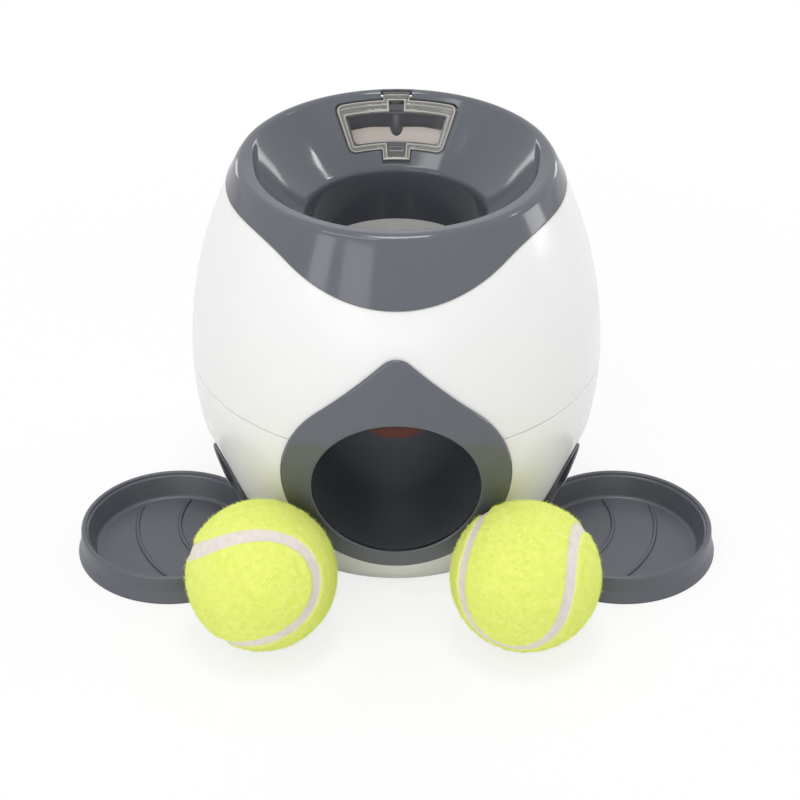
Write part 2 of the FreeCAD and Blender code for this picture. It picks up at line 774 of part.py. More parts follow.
def build_hopper():
    """The dark funnel: skirt, rounded crest, bowl, throat, lid seat, divider and posts, as one moulding."""
    low = "wave_low - 1"
    skirt_inside = "skirt_proud - skirt_wall"
    underside_top = "(crest_height - 6)"
    throat_outside = "throat_radius + throat_wall"
    funnel, sketch = sketched_body(
        "hopper_funnel",
        "XZ_Plane",
        [
            (girth(low, "skirt_proud"), low),
            Bend("upper_bulge + skirt_proud", 1),
            (CREST_RADIUS, "crest_height"),
            ("throat_radius", THROAT_CORNER),
            ("throat_radius", "throat_bottom"),
            (throat_outside, "throat_bottom"),
            (throat_outside, bowl_height(throat_outside, "throat_wall")),
            (girth(underside_top, skirt_inside) + " - 1.2", bowl_height(girth(underside_top, skirt_inside) + " - 1.2", "throat_wall")),
            (girth(underside_top, skirt_inside), underside_top),
            Bend(f"upper_bulge + {skirt_inside}", -1),
            (girth(low, skirt_inside), low),
        ],
    )
    feature = funnel.newObject("PartDesign::Revolution", "hopper_turned")
    feature.Profile = sketch
    feature.ReferenceAxis = (sketch, ["V_Axis"])
    DOCUMENT.recompute()
    for name, height, size in (("crest", "crest_height", "crest_round"), ("throat", THROAT_CORNER, "throat_round")):
        edges = [
            f"Edge{number}"
            for number, edge in enumerate(feature.Shape.Edges, 1)
            if edge.BoundBox.ZLength < 1e-3 and abs(edge.BoundBox.ZMin - value(height)) < 1e-3
        ]
        rounding = funnel.newObject("PartDesign::Fillet", f"hopper_{name}_round")
        rounding.Base = (feature, edges)
        bind(rounding, "Radius", size)
        funnel.Tip = rounding
        DOCUMENT.recompute()
        feature = rounding
    zone_inside = "skirt_proud - skirt_wall - 1"
    skirt_zone = turned(
        "below_skirt",
        [
            (girth(low, zone_inside), low + " - 1"),
            (REACH, low + " - 1"),
            (REACH, "shell_top - 1"),
            (girth("shell_top - 1", zone_inside), "shell_top - 1"),
            Bend(f"upper_bulge + {zone_inside}", -1),
            (girth(low, zone_inside), low),
        ],
    )
    trim = cut("skirt_trim", skirt_zone, wave("hopper_wave", "0"))
    skirted = cut("hopper_skirted", funnel, trim)
    cone = turned(
        "under_bowl",
        [
            (throat_outside, "0"),
            (throat_outside, bowl_height(throat_outside, "throat_wall * 0.7")),
            ("divider_nose + 12", bowl_height("divider_nose + 12", "throat_wall * 0.7")),
            ("divider_nose + 12", "0"),
        ],
    )
    nose = cylinder("divider_nose_round", "divider_half_width", ("0", "divider_nose", "divider_low"), REACH)
    rib = box(
        "divider_rib",
        ("-divider_half_width", "divider_nose", "divider_low"),
        ("divider_half_width", "bin_outer - bin_wall - 1", f"divider_low + {REACH}"),
    )
    posts = row_of(
        "hopper_post",
        HOPPER_LUGS,
        lambda part, x, y: cylinder(part, "post_radius", (x, y, "hopper_lug_height + hopper_lug_thickness"), REACH),
    )
    bin_posts = row_of(
        "bin_post",
        BIN_POSTS,
        lambda part, x, y: cylinder(part, "post_radius", (x, y, bin_post_low(y)), REACH),
    )
    lugs = [
        box(
            f"hinge_lug_{side}",
            (low_x, "hinge_distance - 1.5 * hinge_knuckle", f"{HINGE_HEIGHT} - hinge_knuckle"),
            (high_x, "hinge_distance + 1.5 * hinge_knuckle", f"{HINGE_HEIGHT} + {REACH}"),
        )
        for side, low_x, high_x in (
            ("right", "hinge_half_width", "hinge_pin_half_length + 2"),
            ("left", "-hinge_pin_half_length - 2", "-hinge_half_width"),
        )
    ]
    inside_shell = barrel("inside_shell", "-shell_wall - lid_gap", "throat_bottom / 2", "crest_height")
    inside_skirt = barrel("inside_skirt", "skirt_proud - skirt_wall * 0.7", "throat_bottom / 2", "crest_height")
    inner = common("hopper_inner", fuse("hopper_inner_rough", nose, rib, *posts, *bin_posts), cone, inside_shell)
    hinge_lugs = common("hinge_lugs", fuse("hinge_lugs_rough", *lugs), cone, inside_skirt)
    whole = fuse("hopper_whole", skirted, inner, hinge_lugs)
    seat = bowl_sector(
        "lid_seat", "lid_low_radius - lid_gap", "lid_high_radius + lid_gap", "lid_angle + lid_side_gap", "-6", "lid_thickness + lid_gap / 2"
    )
    window = bowl_sector("lid_window", "window_low_radius", "window_high_radius", "window_angle", "-4", "3 * throat_wall")
    latch_notch = bowl_sector("latch_notch", "notch_radius", "lid_low_radius + 3", "latch_angle + 0.8", "-5", "notch_depth * 0.8")
    hinge_room = cylinder(
        "hinge_room",
        "hinge_knuckle + lid_gap",
        ("-hinge_half_width - hinge_side_gap", "hinge_distance", HINGE_HEIGHT),
        "2 * (hinge_half_width + hinge_side_gap)",
        "X",
    )
    hinge_slot = box(
        "hinge_slot",
        ("-hinge_half_width - hinge_side_gap", "lid_high_radius - 2", f"{HINGE_HEIGHT} - hinge_knuckle - lid_gap"),
        ("hinge_half_width + hinge_side_gap", "hinge_distance + hinge_knuckle + lid_gap", f"{HINGE_HEIGHT} + 20"),
    )
    bore = cylinder(
        "hinge_bore",
        "hinge_pin_radius",
        ("-hinge_pin_half_length", "hinge_distance", HINGE_HEIGHT),
        "2 * hinge_pin_half_length",
        "X",
    )
    top = "hopper_lug_height + hopper_lug_thickness"
    cut(
        "hopper",
        whole,
        seat,
        window,
        latch_notch,
        hinge_room,
        hinge_slot,
        bore,
        *screw_holes("hopper_post_hole", HOPPER_LUGS, top, f"{top} + thread_grip + thread_room", PILOT),
        *row_of(
            "bin_post_hole",
            BIN_POSTS,
            lambda part, x, y: cylinder(part, PILOT, (x, y, bin_floor(y)), f"{bin_post_low(y)} - ({bin_floor(y)}) + thread_grip + thread_room"),
        ),
    )


def build_lid():
    """The clear lid: a sector of the bowl's skin with a hinge tab and a latch tab, and its pin."""
    pane = bowl_sector("lid_pane", "lid_low_radius", "lid_high_radius", "lid_angle", "0", "lid_thickness")
    latch = bowl_sector("lid_latch", "latch_radius", "lid_low_radius + 1", "latch_angle", "0", "lid_thickness")
    frame_low, frame_high = "window_low_radius + plug_gap", "window_high_radius - plug_gap"
    depth = "lid_thickness + plug_depth"
    plug = bowl_sector("lid_plug", frame_low, frame_high, "window_angle - 1.7", "lid_thickness / 2", depth)
    plug_inside = bowl_sector(
        "lid_plug_inside",
        f"{frame_low} + plug_width",
        f"{frame_high} - plug_width",
        "window_angle - 3.7",
        "lid_thickness",
        f"{depth} + 1",
    )
    tab = box(
        "lid_hinge_tab",
        ("-hinge_half_width", "lid_high_radius - 1.5", f"{HINGE_HEIGHT} - hinge_knuckle * 0.3"),
        ("hinge_half_width", "hinge_distance", f"{HINGE_HEIGHT} + hinge_knuckle"),
    )
    tab_limit = common("lid_tab_trimmed", tab, bowl_sector("lid_tab_band", "lid_high_radius - 3", "hinge_distance + 3", "12", "-0.2", "3"))
    knuckle = cylinder("lid_knuckle", "hinge_knuckle", ("-hinge_half_width", "hinge_distance", HINGE_HEIGHT), "2 * hinge_half_width", "X")
    bore = cylinder(
        "lid_knuckle_bore",
        "hinge_pin_radius + running_gap",
        ("-hinge_half_width - 1", "hinge_distance", HINGE_HEIGHT),
        "2 * hinge_half_width + 2",
        "X",
    )
    cut("treat_lid", fuse("lid_whole", pane, latch, cut("lid_rim", plug, plug_inside), tab_limit, knuckle), bore)
    spun(
        "lid_hinge_pin",
        [("hinge_pin_radius", "2 * hinge_pin_half_length")],
        ("-hinge_pin_half_length", "hinge_distance", HINGE_HEIGHT),
        "X",
    )


# ---------------------------------------------------------------- front mask


def build_mask():
    """The dark trim: a drop-shaped skin on the barrel with a round hole, and studs through the shell."""
    tangent_x = "mask_radius * sin(mask_flank)"
    tangent_z = "mask_height + mask_radius * cos(mask_flank)"
    apex_centre = "mask_height + (mask_radius - mask_apex_round) / cos(mask_flank)"
    apex_x = "mask_apex_round * sin(mask_flank)"
    apex_z = f"{apex_centre} + mask_apex_round * cos(mask_flank)"
    drop = padded(
        "mask_drop",
        "XZ_Plane",
        [
            (tangent_x, tangent_z),
            (apex_x, apex_z),
            Bend("mask_apex_round", 1),
            (f"-({apex_x})", apex_z),
            (f"-({tangent_x})", tangent_z),
            Bend("mask_radius", 1, long=True),
        ],
        "4 * belly_radius",
    )
    front = box("mask_front_half", (f"-{REACH}", f"-{REACH}", "0"), (REACH, "-front_zone / 2", REACH))
    skin = cut("mask_skin", barrel("mask_outer", "mask_proud", "shell_foot", "shell_top"), barrel("mask_inner", "0", "0", "shell_top + 1"))
    plate = common("mask_plate", skin, drop, front)
    band = cut(
        "mask_stud_band",
        barrel("mask_stud_outer", "mask_proud / 2", "shell_foot", "shell_top"),
        barrel("mask_stud_inner", "-mask_stud_length", "0", "shell_top + 1"),
    )
    studs = common("mask_studs", band, group("mask_stud_set", *mask_stud_holes("mask_stud", "mask_stud_radius")))
    cut("front_mask", fuse("mask_whole", plate, studs), front_hole("mask_hole", "outlet_radius"))


# ---------------------------------------------------------------- ball path

CHUTE_RISE = "outlet_height + outlet_front * tan(chute_slope)"


def sloped_tunnel(name, radius):
    """The inclined tunnel, level with the outlet at the front and closed by a ball end under the drop."""
    run = "1.3 * outlet_front"
    tunnel = DOCUMENT.addObject("Part::Cylinder", name)
    bind(tunnel, "Radius", radius)
    bind(tunnel, "Height", f"({run}) / cos(chute_slope)")
    start = ("0", f"-({run})", f"{CHUTE_RISE} - ({run}) * tan(chute_slope)")
    return place(tunnel, start, (1, 0, 0), "chute_slope - 90")


def build_ball_path():
    """The trough that the ball rolls down and the tube that it drops through."""
    wall = "chute_wall"
    outer = fuse(
        "chute_outer",
        sloped_tunnel("chute_tunnel", f"outlet_radius + {wall}"),
        sphere("chute_end", f"outlet_radius + {wall}", ("0", "0", CHUTE_RISE)),
        cylinder("chute_well", f"well_radius + {wall}", ("0", "0", CHUTE_RISE), f"well_top - ({CHUTE_RISE})"),
        *row_of(
            "chute_saddle",
            SADDLES,
            lambda part, x, y: box(
                part,
                ("-saddle_half_width", f"{y} - saddle_half_width", "saddle_height"),
                ("saddle_half_width", f"{y} + saddle_half_width", "outlet_height"),
            ),
        ),
    )
    inner = fuse(
        "chute_inner",
        sloped_tunnel("chute_tunnel_bore", "outlet_radius"),
        sphere("chute_end_bore", "outlet_radius", ("0", "0", CHUTE_RISE)),
        cylinder("chute_well_bore", "well_radius", ("0", "0", CHUTE_RISE), f"well_top + 1 - ({CHUTE_RISE})"),
    )
    swing = box(
        "chute_swing_slot",
        ("-flap_half_width - flap_room", "-outlet_front - 6", CHUTE_RISE),
        ("flap_half_width + flap_room", "-well_radius - 1", REACH),
    )
    limit = barrel("chute_limit", "-tube_gap", "0.5", "well_top")
    cut(
        "ball_chute",
        common("chute_trimmed", outer, limit),
        inner,
        swing,
        across("chute_shaft_hole", "shaft_radius + 0.4", "-shaft_half_length", "shaft_half_length"),
        *screw_holes("chute_screw_hole", SADDLES, "0", "saddle_height + thread_grip + thread_room", PILOT),
    )
    throat_outside = "throat_radius + throat_wall"
    turned(
        "drop_tube",
        [
            ("well_radius", "well_top + tube_gap"),
            ("well_radius + tube_wall", "well_top + tube_gap"),
            ("throat_radius + tube_wall", "tube_collar_low"),
            (f"{throat_outside} + tube_gap + tube_collar_wall - 0.4", "tube_collar_low"),
            (f"{throat_outside} + tube_gap + tube_collar_wall - 0.4", "tube_collar_high"),
            (f"{throat_outside} + tube_gap", "tube_collar_high"),
            (f"{throat_outside} + tube_gap", "throat_bottom"),
            ("throat_radius", "throat_bottom"),
        ],
    )


# ---------------------------------------------------------------- trigger and rotors

SHAFT_Y = "-shaft_forward"


def across(name, radius, low, high):
    """A cylinder about the cross shaft's axis, between two x values."""
    return cylinder(name, radius, (low, SHAFT_Y, "shaft_height"), f"({high}) - ({low})", "X")


def build_trigger():
    """The flap, the cross shaft, the two rotors, their bushes and the retaining rings."""
    tip = padded(
        "flap_plate",
        "XZ_Plane",
        [
            ("flap_half_width", "0"),
            ("-flap_half_width", "0"),
            ("-flap_half_width", "-(flap_length - flap_half_width)"),
            Bend("flap_half_width + 0.2", 1),
            ("flap_half_width", "-(flap_length - flap_half_width)"),
        ],
        "flap_thickness",
    )
    place(tip, ("0", SHAFT_Y, "shaft_height"))
    hub = across("flap_hub", "flap_hub_radius", "-flap_half_width", "flap_half_width")
    spine = box(
        "flap_spine",
        ("-flap_thickness / 2", f"{SHAFT_Y} - flap_hub_radius * 0.7", "shaft_height - flap_length * 0.72"),
        ("flap_thickness / 2", SHAFT_Y, "shaft_height"),
    )
    cut(
        "trigger_flap",
        fuse("flap_whole", tip, hub, spine),
        across("flap_bore", "shaft_radius", "-flap_half_width - 1", "flap_half_width + 1"),
    )
    spun("trigger_shaft", [("shaft_radius", "2 * shaft_half_length")], ("-shaft_half_length", SHAFT_Y, "shaft_height"), "X")
    pocket_y = f"{SHAFT_Y} + pocket_distance * cos(pocket_angle)"
    pocket_z = "shaft_height + pocket_distance * sin(pocket_angle)"
    rim = "1.2"
    rotor = cut(
        "metering_rotor_right",
        across("rotor_drum", "rotor_radius", "rotor_low", "rotor_high"),
        across("rotor_bore", "shaft_radius", "rotor_low - 1", "rotor_high + 1"),
        cylinder("rotor_pocket", "pocket_radius", (f"rotor_low + {rim}", pocket_y, pocket_z), f"rotor_high - rotor_low - 2 * {rim}", "X"),
    )
    mirrored("metering_rotor_left", rotor)
    wall_low = "rotor_high + rotor_gap"
    wall_high = "rotor_high + rotor_gap + duct_wall"
    bush = cut(
        "shaft_bush_right",
        fuse(
            "bush_whole",
            across("bush_barrel", "bush_radius", wall_low, wall_high),
            across("bush_head", "bush_flange", wall_high, f"{wall_high} + bush_flange_thickness"),
        ),
        across("bush_bore", "shaft_radius + running_gap", f"{wall_low} - 1", f"{wall_high} + 3"),
    )
    mirrored("shaft_bush_left", bush)
    clip_low = f"{wall_high} + bush_flange_thickness + tube_gap + 0.1"
    clip = cut(
        "clip_ring",
        across("clip_disc", "clip_radius", clip_low, f"{clip_low} + clip_thickness"),
        across("clip_bore", "shaft_radius", f"{clip_low} - 1", f"{clip_low} + 3"),
    )
    group("shaft_clips", clip, mirrored("clip_ring_left", clip))


# ---------------------------------------------------------------- treat ducts


def loft_between(name, inset, reach):
    """The duct's lower run: from a level rectangle under the rotor to the outlet in the facet."""
    inner_x = value(f"rotor_low - rotor_gap - duct_wall + {inset}")
    outer_x = value(f"rotor_high + rotor_gap + duct_wall - {inset}")
    front_y, back_y = value(f"-duct_front + {inset}"), value(f"-duct_back - {inset}")
    turn_z = value("duct_turn_height")
    top = [(outer_x, front_y, turn_z), (outer_x, back_y, turn_z), (inner_x, back_y, turn_z), (inner_x, front_y, turn_z)]
    tilt, turn = math.radians(value("facet_tilt")), math.radians(value("side_forward"))
    normal = FreeCAD.Vector(math.cos(tilt) * math.cos(turn), -math.cos(tilt) * math.sin(turn), -math.sin(tilt))
    upward = FreeCAD.Vector(math.sin(tilt) * math.cos(turn), -math.sin(tilt) * math.sin(turn), math.cos(tilt))
    sideways = FreeCAD.Vector(math.sin(turn), math.cos(turn), 0)
    depth = value(f"facet_distance - shell_wall + {reach}")
    half = value(f"outlet_half_width + duct_wall - {inset}")
    low = value(f"{slope_place('outlet_low')} - duct_wall + {inset}")
    high = value(f"{slope_place('outlet_high')} + duct_wall - {inset}")
    end = [normal * depth + sideways * s + upward * u for s, u in ((-half, high), (half, high), (half, low), (-half, low))]
    wires = [Part.makePolygon([FreeCAD.Vector(p) for p in ring + ring[:1]]) for ring in (top, end)]
    item = DOCUMENT.addObject("Part::Feature", name)
    item.Shape = Part.makeLoft(wires, True, True)
    return item


def build_ducts():
    """A rotor housing with a duct down to the side outlet, and its mirror image."""
    inner_low, inner_high = "rotor_low - rotor_gap", "rotor_high + rotor_gap"
    outer_low, outer_high = f"{inner_low} - duct_wall", f"{inner_high} + duct_wall"
    front, back = "-duct_front", "-duct_back"
    shaft_room = "rotor_radius + rotor_gap"
    outer = fuse(
        "duct_outer",
        across("housing_outer", f"{shaft_room} + duct_wall", outer_low, outer_high),
        box("duct_upright", (outer_low, front, "duct_turn_height"), (outer_high, back, "shaft_height")),
        loft_between("duct_run", "0", "0"),
        box(
            "duct_leg",
            ("leg_across - leg_half_width", "-leg_forward - leg_half_width", f"{PLATE_TOP}"),
            ("leg_across + leg_half_width", "-leg_forward + leg_half_width", "leg_top"),
        ),
    )
    inner = fuse(
        "duct_inner",
        across("housing_inner", shaft_room, inner_low, inner_high),
        box(
            "duct_upright_inner",
            (inner_low, f"{front} + duct_wall", "duct_turn_height"),
            (inner_high, f"{back} - duct_wall", f"shaft_height - {shaft_room} / 2"),
        ),
        loft_between("duct_run_inner", "duct_wall", "1"),
    )
    inlet = box("duct_inlet", (inner_low, SHAFT_Y, "inlet_low"), (inner_high, back + " + 5", "shaft_height + 30"))
    duct = cut(
        "treat_duct_right",
        outer,
        inner,
        inlet,
        across("duct_bush_bore", "bush_radius", inner_high, f"{outer_high} + 1"),
        across("duct_shaft_hole", "shaft_radius + 0.4", f"{outer_low} - 1", inner_low),
        *screw_holes("duct_leg_hole", {"right": LEGS["right"]}, "0", f"{PLATE_TOP} + thread_grip + thread_room", PILOT),
    )
    mirrored("treat_duct_left", duct)


# ---------------------------------------------------------------- treat bin


def bin_floor(y, above="0"):
    """The height of the bin's underside at a y, plus a height."""
    return f"bin_floor_height + ({y}) * tan(bin_floor_slope) - bin_wall / cos(bin_floor_slope) + ({above})"


def bin_post_low(y):
    """The height of the foot of a hopper post that stands on the bin's sloped floor."""
    return bin_floor(y, "bin_wall / cos(bin_floor_slope) + post_radius * tan(bin_floor_slope) + tube_gap")


def above_floor(name, lift):
    """All above the sloped floor, raised by a distance."""
    item = box(name, (f"-{REACH}", f"-{REACH}", "0"), (REACH, REACH, REACH))
    item.Placement = FreeCAD.Placement(FreeCAD.Vector(), FreeCAD.Rotation(FreeCAD.Vector(1, 0, 0), 1.0))
    bind(item, "Placement.Rotation.Angle", "bin_floor_slope")
    bind(item, "Placement.Base.x", f"-{REACH}")
    bind(item, "Placement.Base.y", f"-{REACH} * cos(bin_floor_slope)")
    bind(item, "Placement.Base.z", f"bin_floor_height - {REACH} * sin(bin_floor_slope) + ({lift})")
    return item


def ring_sector(name, inner, outer, front):
    """An upright ring behind a front plane, up to the bin's top."""
    ring = turned(name + "_ring", [(inner, "0"), (outer, "0"), (outer, "bin_top"), (inner, "bin_top")])
    front_cut = box(name + "_front", (f"-{REACH}", f"-{REACH}", "-1"), (REACH, f"-({front})", REACH))
    return cut(name, ring, front_cut)


def build_bin():
    """The cream bin: a horseshoe round the drop tube with a floor that slopes forward to the two rotors."""
    outer = common(
        "bin_outer_form",
        ring_sector("bin_form", "bin_inner", "bin_outer", "bin_front"),
        above_floor("bin_under", "-bin_wall / cos(bin_floor_slope)"),
    )
    inner = common(
        "bin_hollow",
        cut(
            "bin_hollow_ring",
            turned(
                "bin_hollow_form",
                [
                    ("bin_inner + bin_wall", "0"),
                    ("bin_outer - bin_wall", "0"),
                    ("bin_outer - bin_wall", "bin_top + 1"),
                    ("bin_inner + bin_wall", "bin_top + 1"),
                ],
            ),
            box("bin_hollow_front", (f"-{REACH}", f"-{REACH}", "-1"), (REACH, "-bin_front + bin_wall", REACH)),
        ),
        above_floor("bin_over", "0"),
    )
    gates = [
        box(
            f"bin_gate_{side}",
            (low, f"-{REACH}", bin_floor("-bin_front", "bin_wall / cos(bin_floor_slope)")),
            (high, "-bin_front + 2 * bin_wall", "inlet_low + 22"),
        )
        for side, low, high in (
            ("right", "rotor_low - rotor_gap", "rotor_high + rotor_gap"),
            ("left", "-rotor_high - rotor_gap", "-rotor_low + rotor_gap"),
        )
    ]
    cut(
        "treat_bin",
        outer,
        inner,
        *gates,
        *row_of("bin_screw_hole", BIN_POSTS, lambda part, x, y: cylinder(part, HOLE, (x, y, "100"), "80")),
    )


# ---------------------------------------------------------------- bezels and trays


def build_bezels():
    """The dark arch plates that fill the facets, each with the treat outlet and a slot for the tray's hook."""
    for side, turn in SIDES.items():
        low, straight = slope_place("bezel_low"), f"{slope_place('bezel_low')} + bezel_straight"
        near, far = "facet_distance", "facet_distance + bezel_thickness"
        plate = facet_box(f"bezel_plate_{side}", near, far, "bezel_half_width", low, straight)
        arch = DOCUMENT.addObject("Part::Cylinder", f"bezel_arch_{side}")
        bind(arch, "Radius", "bezel_half_width")
        bind(arch, "Height", "bezel_thickness")
        place(
            arch,
            (
                f"{near} * cos(facet_tilt) + ({straight}) * sin(facet_tilt)",
                "0",
                f"({straight}) * cos(facet_tilt) - {near} * sin(facet_tilt)",
            ),
            (0, 1, 0),
            "90 + facet_tilt",
        )
        slot = box(
            f"bezel_slot_{side}",
            (facet_reach("facet_distance", "hook_height") + " - hook_reach", "-hook_slot_half_width", "hook_height - hook_slot_height / 2"),
            (REACH, "hook_slot_half_width", "hook_height + hook_slot_height / 2"),
        )
        local = cut(f"bezel_local_{side}", fuse(f"bezel_whole_{side}", plate, arch), side_outlet(f"bezel_outlet_{side}"), slot)
        turned_about_z(f"side_bezel_{side}", turn, local)


def build_trays():
    """The round dishes: a flared wall with a lip, curved ribs on the floor, and a hook into the bezel."""
    far = "facet_distance + bezel_thickness + tray_gap"
    for side, turn in SIDES.items():
        rim_inside = "tray_rim_radius - tray_wall"
        dish = place(
            turned(
                f"dish_{side}",
                [
                    ("0", "0"),
                    ("tray_foot_radius", "0"),
                    ("tray_rim_radius", "tray_height"),
                    (rim_inside, "tray_height"),
                    (rim_inside, "tray_height - tray_lip"),
                    (f"{rim_inside} - tray_lip", "tray_height - 2 * tray_lip"),
                    (f"{rim_inside} - tray_lip - tray_draft", "tray_floor"),
                    ("0", "tray_floor"),
                ],
            ),
            ("tray_reach", "0", "0"),
        )
        ribs = []
        for number in range(COUNTS["rib_count"]):
            middle = f"rib_first + {number} * rib_step"
            ring = turned(
                f"rib_{number}_{side}",
                [
                    (f"{middle} - rib_width / 2", "tray_floor / 2"),
                    (f"{middle} + rib_width / 2", "tray_floor / 2"),
                    (f"{middle} + rib_width / 2", "tray_floor"),
                    (f"{middle} + rib_width / 4", "tray_floor + rib_height"),
                    (f"{middle} - rib_width / 4", "tray_floor + rib_height"),
                    (f"{middle} - rib_width / 2", "tray_floor"),
                ],
            )
            ribs.append(place(ring, ("rib_centre", "0", "0")))
        inside = place(
            turned(f"dish_inside_{side}", [("0", "0"), (rim_inside, "0"), (rim_inside, "tray_height"), ("0", "tray_height")]),
            ("tray_reach", "0", "0"),
        )
        rib_set = common(f"rib_set_{side}", group(f"rib_rings_{side}", *ribs), inside)
        tab_top = slope_place("hook_height + hook_thickness / 2", far)
        tab = facet_box(f"hook_tab_{side}", far, f"{far} + hook_tab_thickness", "hook_half_width", "0", tab_top)
        face = facet_reach(far, "hook_height")
        hook = box(
            f"hook_bar_{side}",
            (f"{face} - hook_reach", "-hook_half_width", "hook_height - hook_thickness / 2"),
            (f"{face} + hook_tab_thickness / 2", "hook_half_width", "hook_height + hook_thickness / 2"),
        )
        body_side = facet_box(f"tray_body_side_{side}", "-20", far, REACH, f"-{REACH}", REACH)
        below = box(f"tray_below_{side}", ("-20", f"-{REACH}", f"-{REACH}"), (REACH, REACH, "0"))
        dish_cut = cut(f"dish_cut_{side}", fuse(f"dish_ribbed_{side}", dish, rib_set), body_side)
        hook_cut = cut(f"hook_cut_{side}", fuse(f"hook_whole_{side}", tab, hook), below)
        turned_about_z(f"tray_{side}", turn, fuse(f"tray_local_{side}", dish_cut, hook_cut))


def build_balls():
    """Two felt balls on the floor: a hollow rubber core in a felt cover."""
    felt_inside = "ball_radius - felt_thickness"
    for side in SIDES:
        centre = (f"ball_{side}_across", f"-ball_{side}_forward", "ball_radius")
        cut(
            f"ball_felt_{side}",
            sphere(f"felt_outer_{side}", "ball_radius", centre),
            sphere(f"felt_inner_{side}", felt_inside, centre),
        )
        cut(
            f"ball_core_{side}",
            sphere(f"core_outer_{side}", felt_inside, centre),
            sphere(f"core_inner_{side}", f"{felt_inside} - core_thickness", centre),
        )


def build_screws():
    """The fasteners, one group for each set of like screws."""
    head_low = "shell_foot + head_height * 0.5 - head_height"
    clamp = f"{PLATE_TOP} - (shell_foot + head_height * 0.5)"
    screws("base_screws", RIM_SCREWS, head_low, clamp)
    screws("duct_screws", LEGS, head_low, clamp)
    screws("chute_screws", SADDLES, head_low, "saddle_height - (shell_foot + head_height * 0.5)")
    screws("shell_screws", SHELL_LUGS, "belly_height - lug_height - head_height", "lug_height")
    screws("hopper_screws", HOPPER_LUGS, "hopper_lug_height - head_height", "hopper_lug_thickness")
    pieces = []
    for key, (x, y) in BIN_POSTS.items():
        head_top = bin_floor(y, "-head_radius * tan(bin_floor_slope)")
        steps = [("head_radius", "head_height"), ("screw_radius", f"{bin_post_low(y)} + thread_grip - ({head_top})")]
        pieces.append(spun(f"bin_screw_{key}", steps, (x, y, f"{head_top} - head_height")))
    group("bin_screws", *pieces)


NODES = [
    "upper_shell", "lower_shell", "base_plate", "grip_ring", "hopper", "treat_lid", "lid_hinge_pin", "front_mask",
    "ball_chute", "drop_tube", "treat_bin", "treat_duct_left", "treat_duct_right", "side_bezel_left",
    "side_bezel_right", "trigger_flap", "trigger_shaft", "metering_rotor_left", "metering_rotor_right",
    "shaft_bush_left", "shaft_bush_right", "shaft_clips", "tray_left", "tray_right", "ball_core_left",
    "ball_core_right", "ball_felt_left", "ball_felt_right", "base_screws", "duct_screws", "chute_screws",
    "shell_screws", "hopper_screws", "bin_screws",
]  # fmt: skip


def export_parts():
    """Check every object, then write each named piece to its own file."""
    DOCUMENT.recompute()
    failed = [item.Name for item in DOCUMENT.Objects if "Invalid" in item.State or "Error" in item.State]
    if failed:
        raise RuntimeError("these objects did not build: " + ", ".join(failed))
    os.makedirs("parts", exist_ok=True)
    for name in NODES:
        item = DOCUMENT.getObject(name)
        item.Label = name
        shape = item.Shape
        if shape.isNull() or not shape.isValid() or not shape.Solids:
            raise RuntimeError(f"{name} has no valid solid")
        shape.exportStep(os.path.join("parts", name + ".step"))
        print(f"{name}: {len(shape.Solids)} solid(s), {shape.Volume / 1000:.2f} cm3")


build_base()
build_shells()
build_hopper()
build_lid()
build_mask()
build_ball_path()
build_trigger()
build_ducts()
build_bin()
build_bezels()
build_trays()
build_balls()
build_screws()
export_parts()
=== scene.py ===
"""Ball drop and treat dispenser for dogs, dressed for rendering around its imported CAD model.

Every piece is worked out as whole arrays in millimetres in the model's own frame (+Z up, front at -Y,
origin on the floor at the barrel's axis) and turned into metres when its mesh is made. Sizes are in mm and
angles in degrees, unless a docstring says otherwise. The lamps' places and sizes, the floor and the grain
of the finishes are in metres.
"""

import logging
import math
from dataclasses import dataclass, field
from enum import Enum
from typing import Optional, Sequence

import bmesh
import bpy
import numpy as np
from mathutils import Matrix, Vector


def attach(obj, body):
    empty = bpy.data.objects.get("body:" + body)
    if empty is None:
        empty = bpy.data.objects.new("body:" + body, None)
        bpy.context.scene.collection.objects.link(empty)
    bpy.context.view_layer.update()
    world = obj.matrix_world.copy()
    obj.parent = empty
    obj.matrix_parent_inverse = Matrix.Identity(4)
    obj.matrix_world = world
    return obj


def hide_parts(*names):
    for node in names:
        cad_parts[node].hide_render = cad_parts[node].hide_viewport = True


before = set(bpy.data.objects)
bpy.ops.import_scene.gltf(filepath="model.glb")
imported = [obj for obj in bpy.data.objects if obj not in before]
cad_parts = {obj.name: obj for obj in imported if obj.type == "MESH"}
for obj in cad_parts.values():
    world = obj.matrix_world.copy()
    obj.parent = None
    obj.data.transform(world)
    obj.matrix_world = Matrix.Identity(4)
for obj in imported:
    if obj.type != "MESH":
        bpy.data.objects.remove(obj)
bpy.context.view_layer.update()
LOG = logging.getLogger("dispenser")
MM = 0.001
NEVER = 1e4
Array = np.ndarray
Solid = tuple[Array, Array]
Colour = tuple[float, float, float, float]
Socket = bpy.types.NodeSocket
Material = bpy.types.Material
Object = bpy.types.Object


class Side(Enum):
    """Which side of the barrel a piece belongs to."""

    RIGHT = 1
    LEFT = -1

    @property
    def word(self) -> str:
        """The side's name in lower case."""
        return self.name.lower()


# ---------------------------------------------------------------- grids and meshes


def ruled(stops: Sequence[float], step: float) -> Array:
    """Even steps between neighbouring stops, with every stop among the values.

    Args:
        stops: the values that have to be there, in rising order.
        step: the largest step between two values.

    Returns:
        The values in rising order.
    """
    pairs = zip(stops[:-1], stops[1:])
    runs = [np.linspace(a, b, max(1, math.ceil((b - a) / step - 1e-9)) + 1)[:-1] for a, b in pairs]
    return np.concatenate([*runs, [stops[-1]]])


def around_cells(cells: Array, blank: int = 0) -> Array:
    """The four cells round each point of a grid, in a new first axis, with blank ones past its ends."""
    padded = np.pad(cells, 1, constant_values=blank)
    return np.stack([padded[:-1, :-1], padded[1:, :-1], padded[:-1, 1:], padded[1:, 1:]])


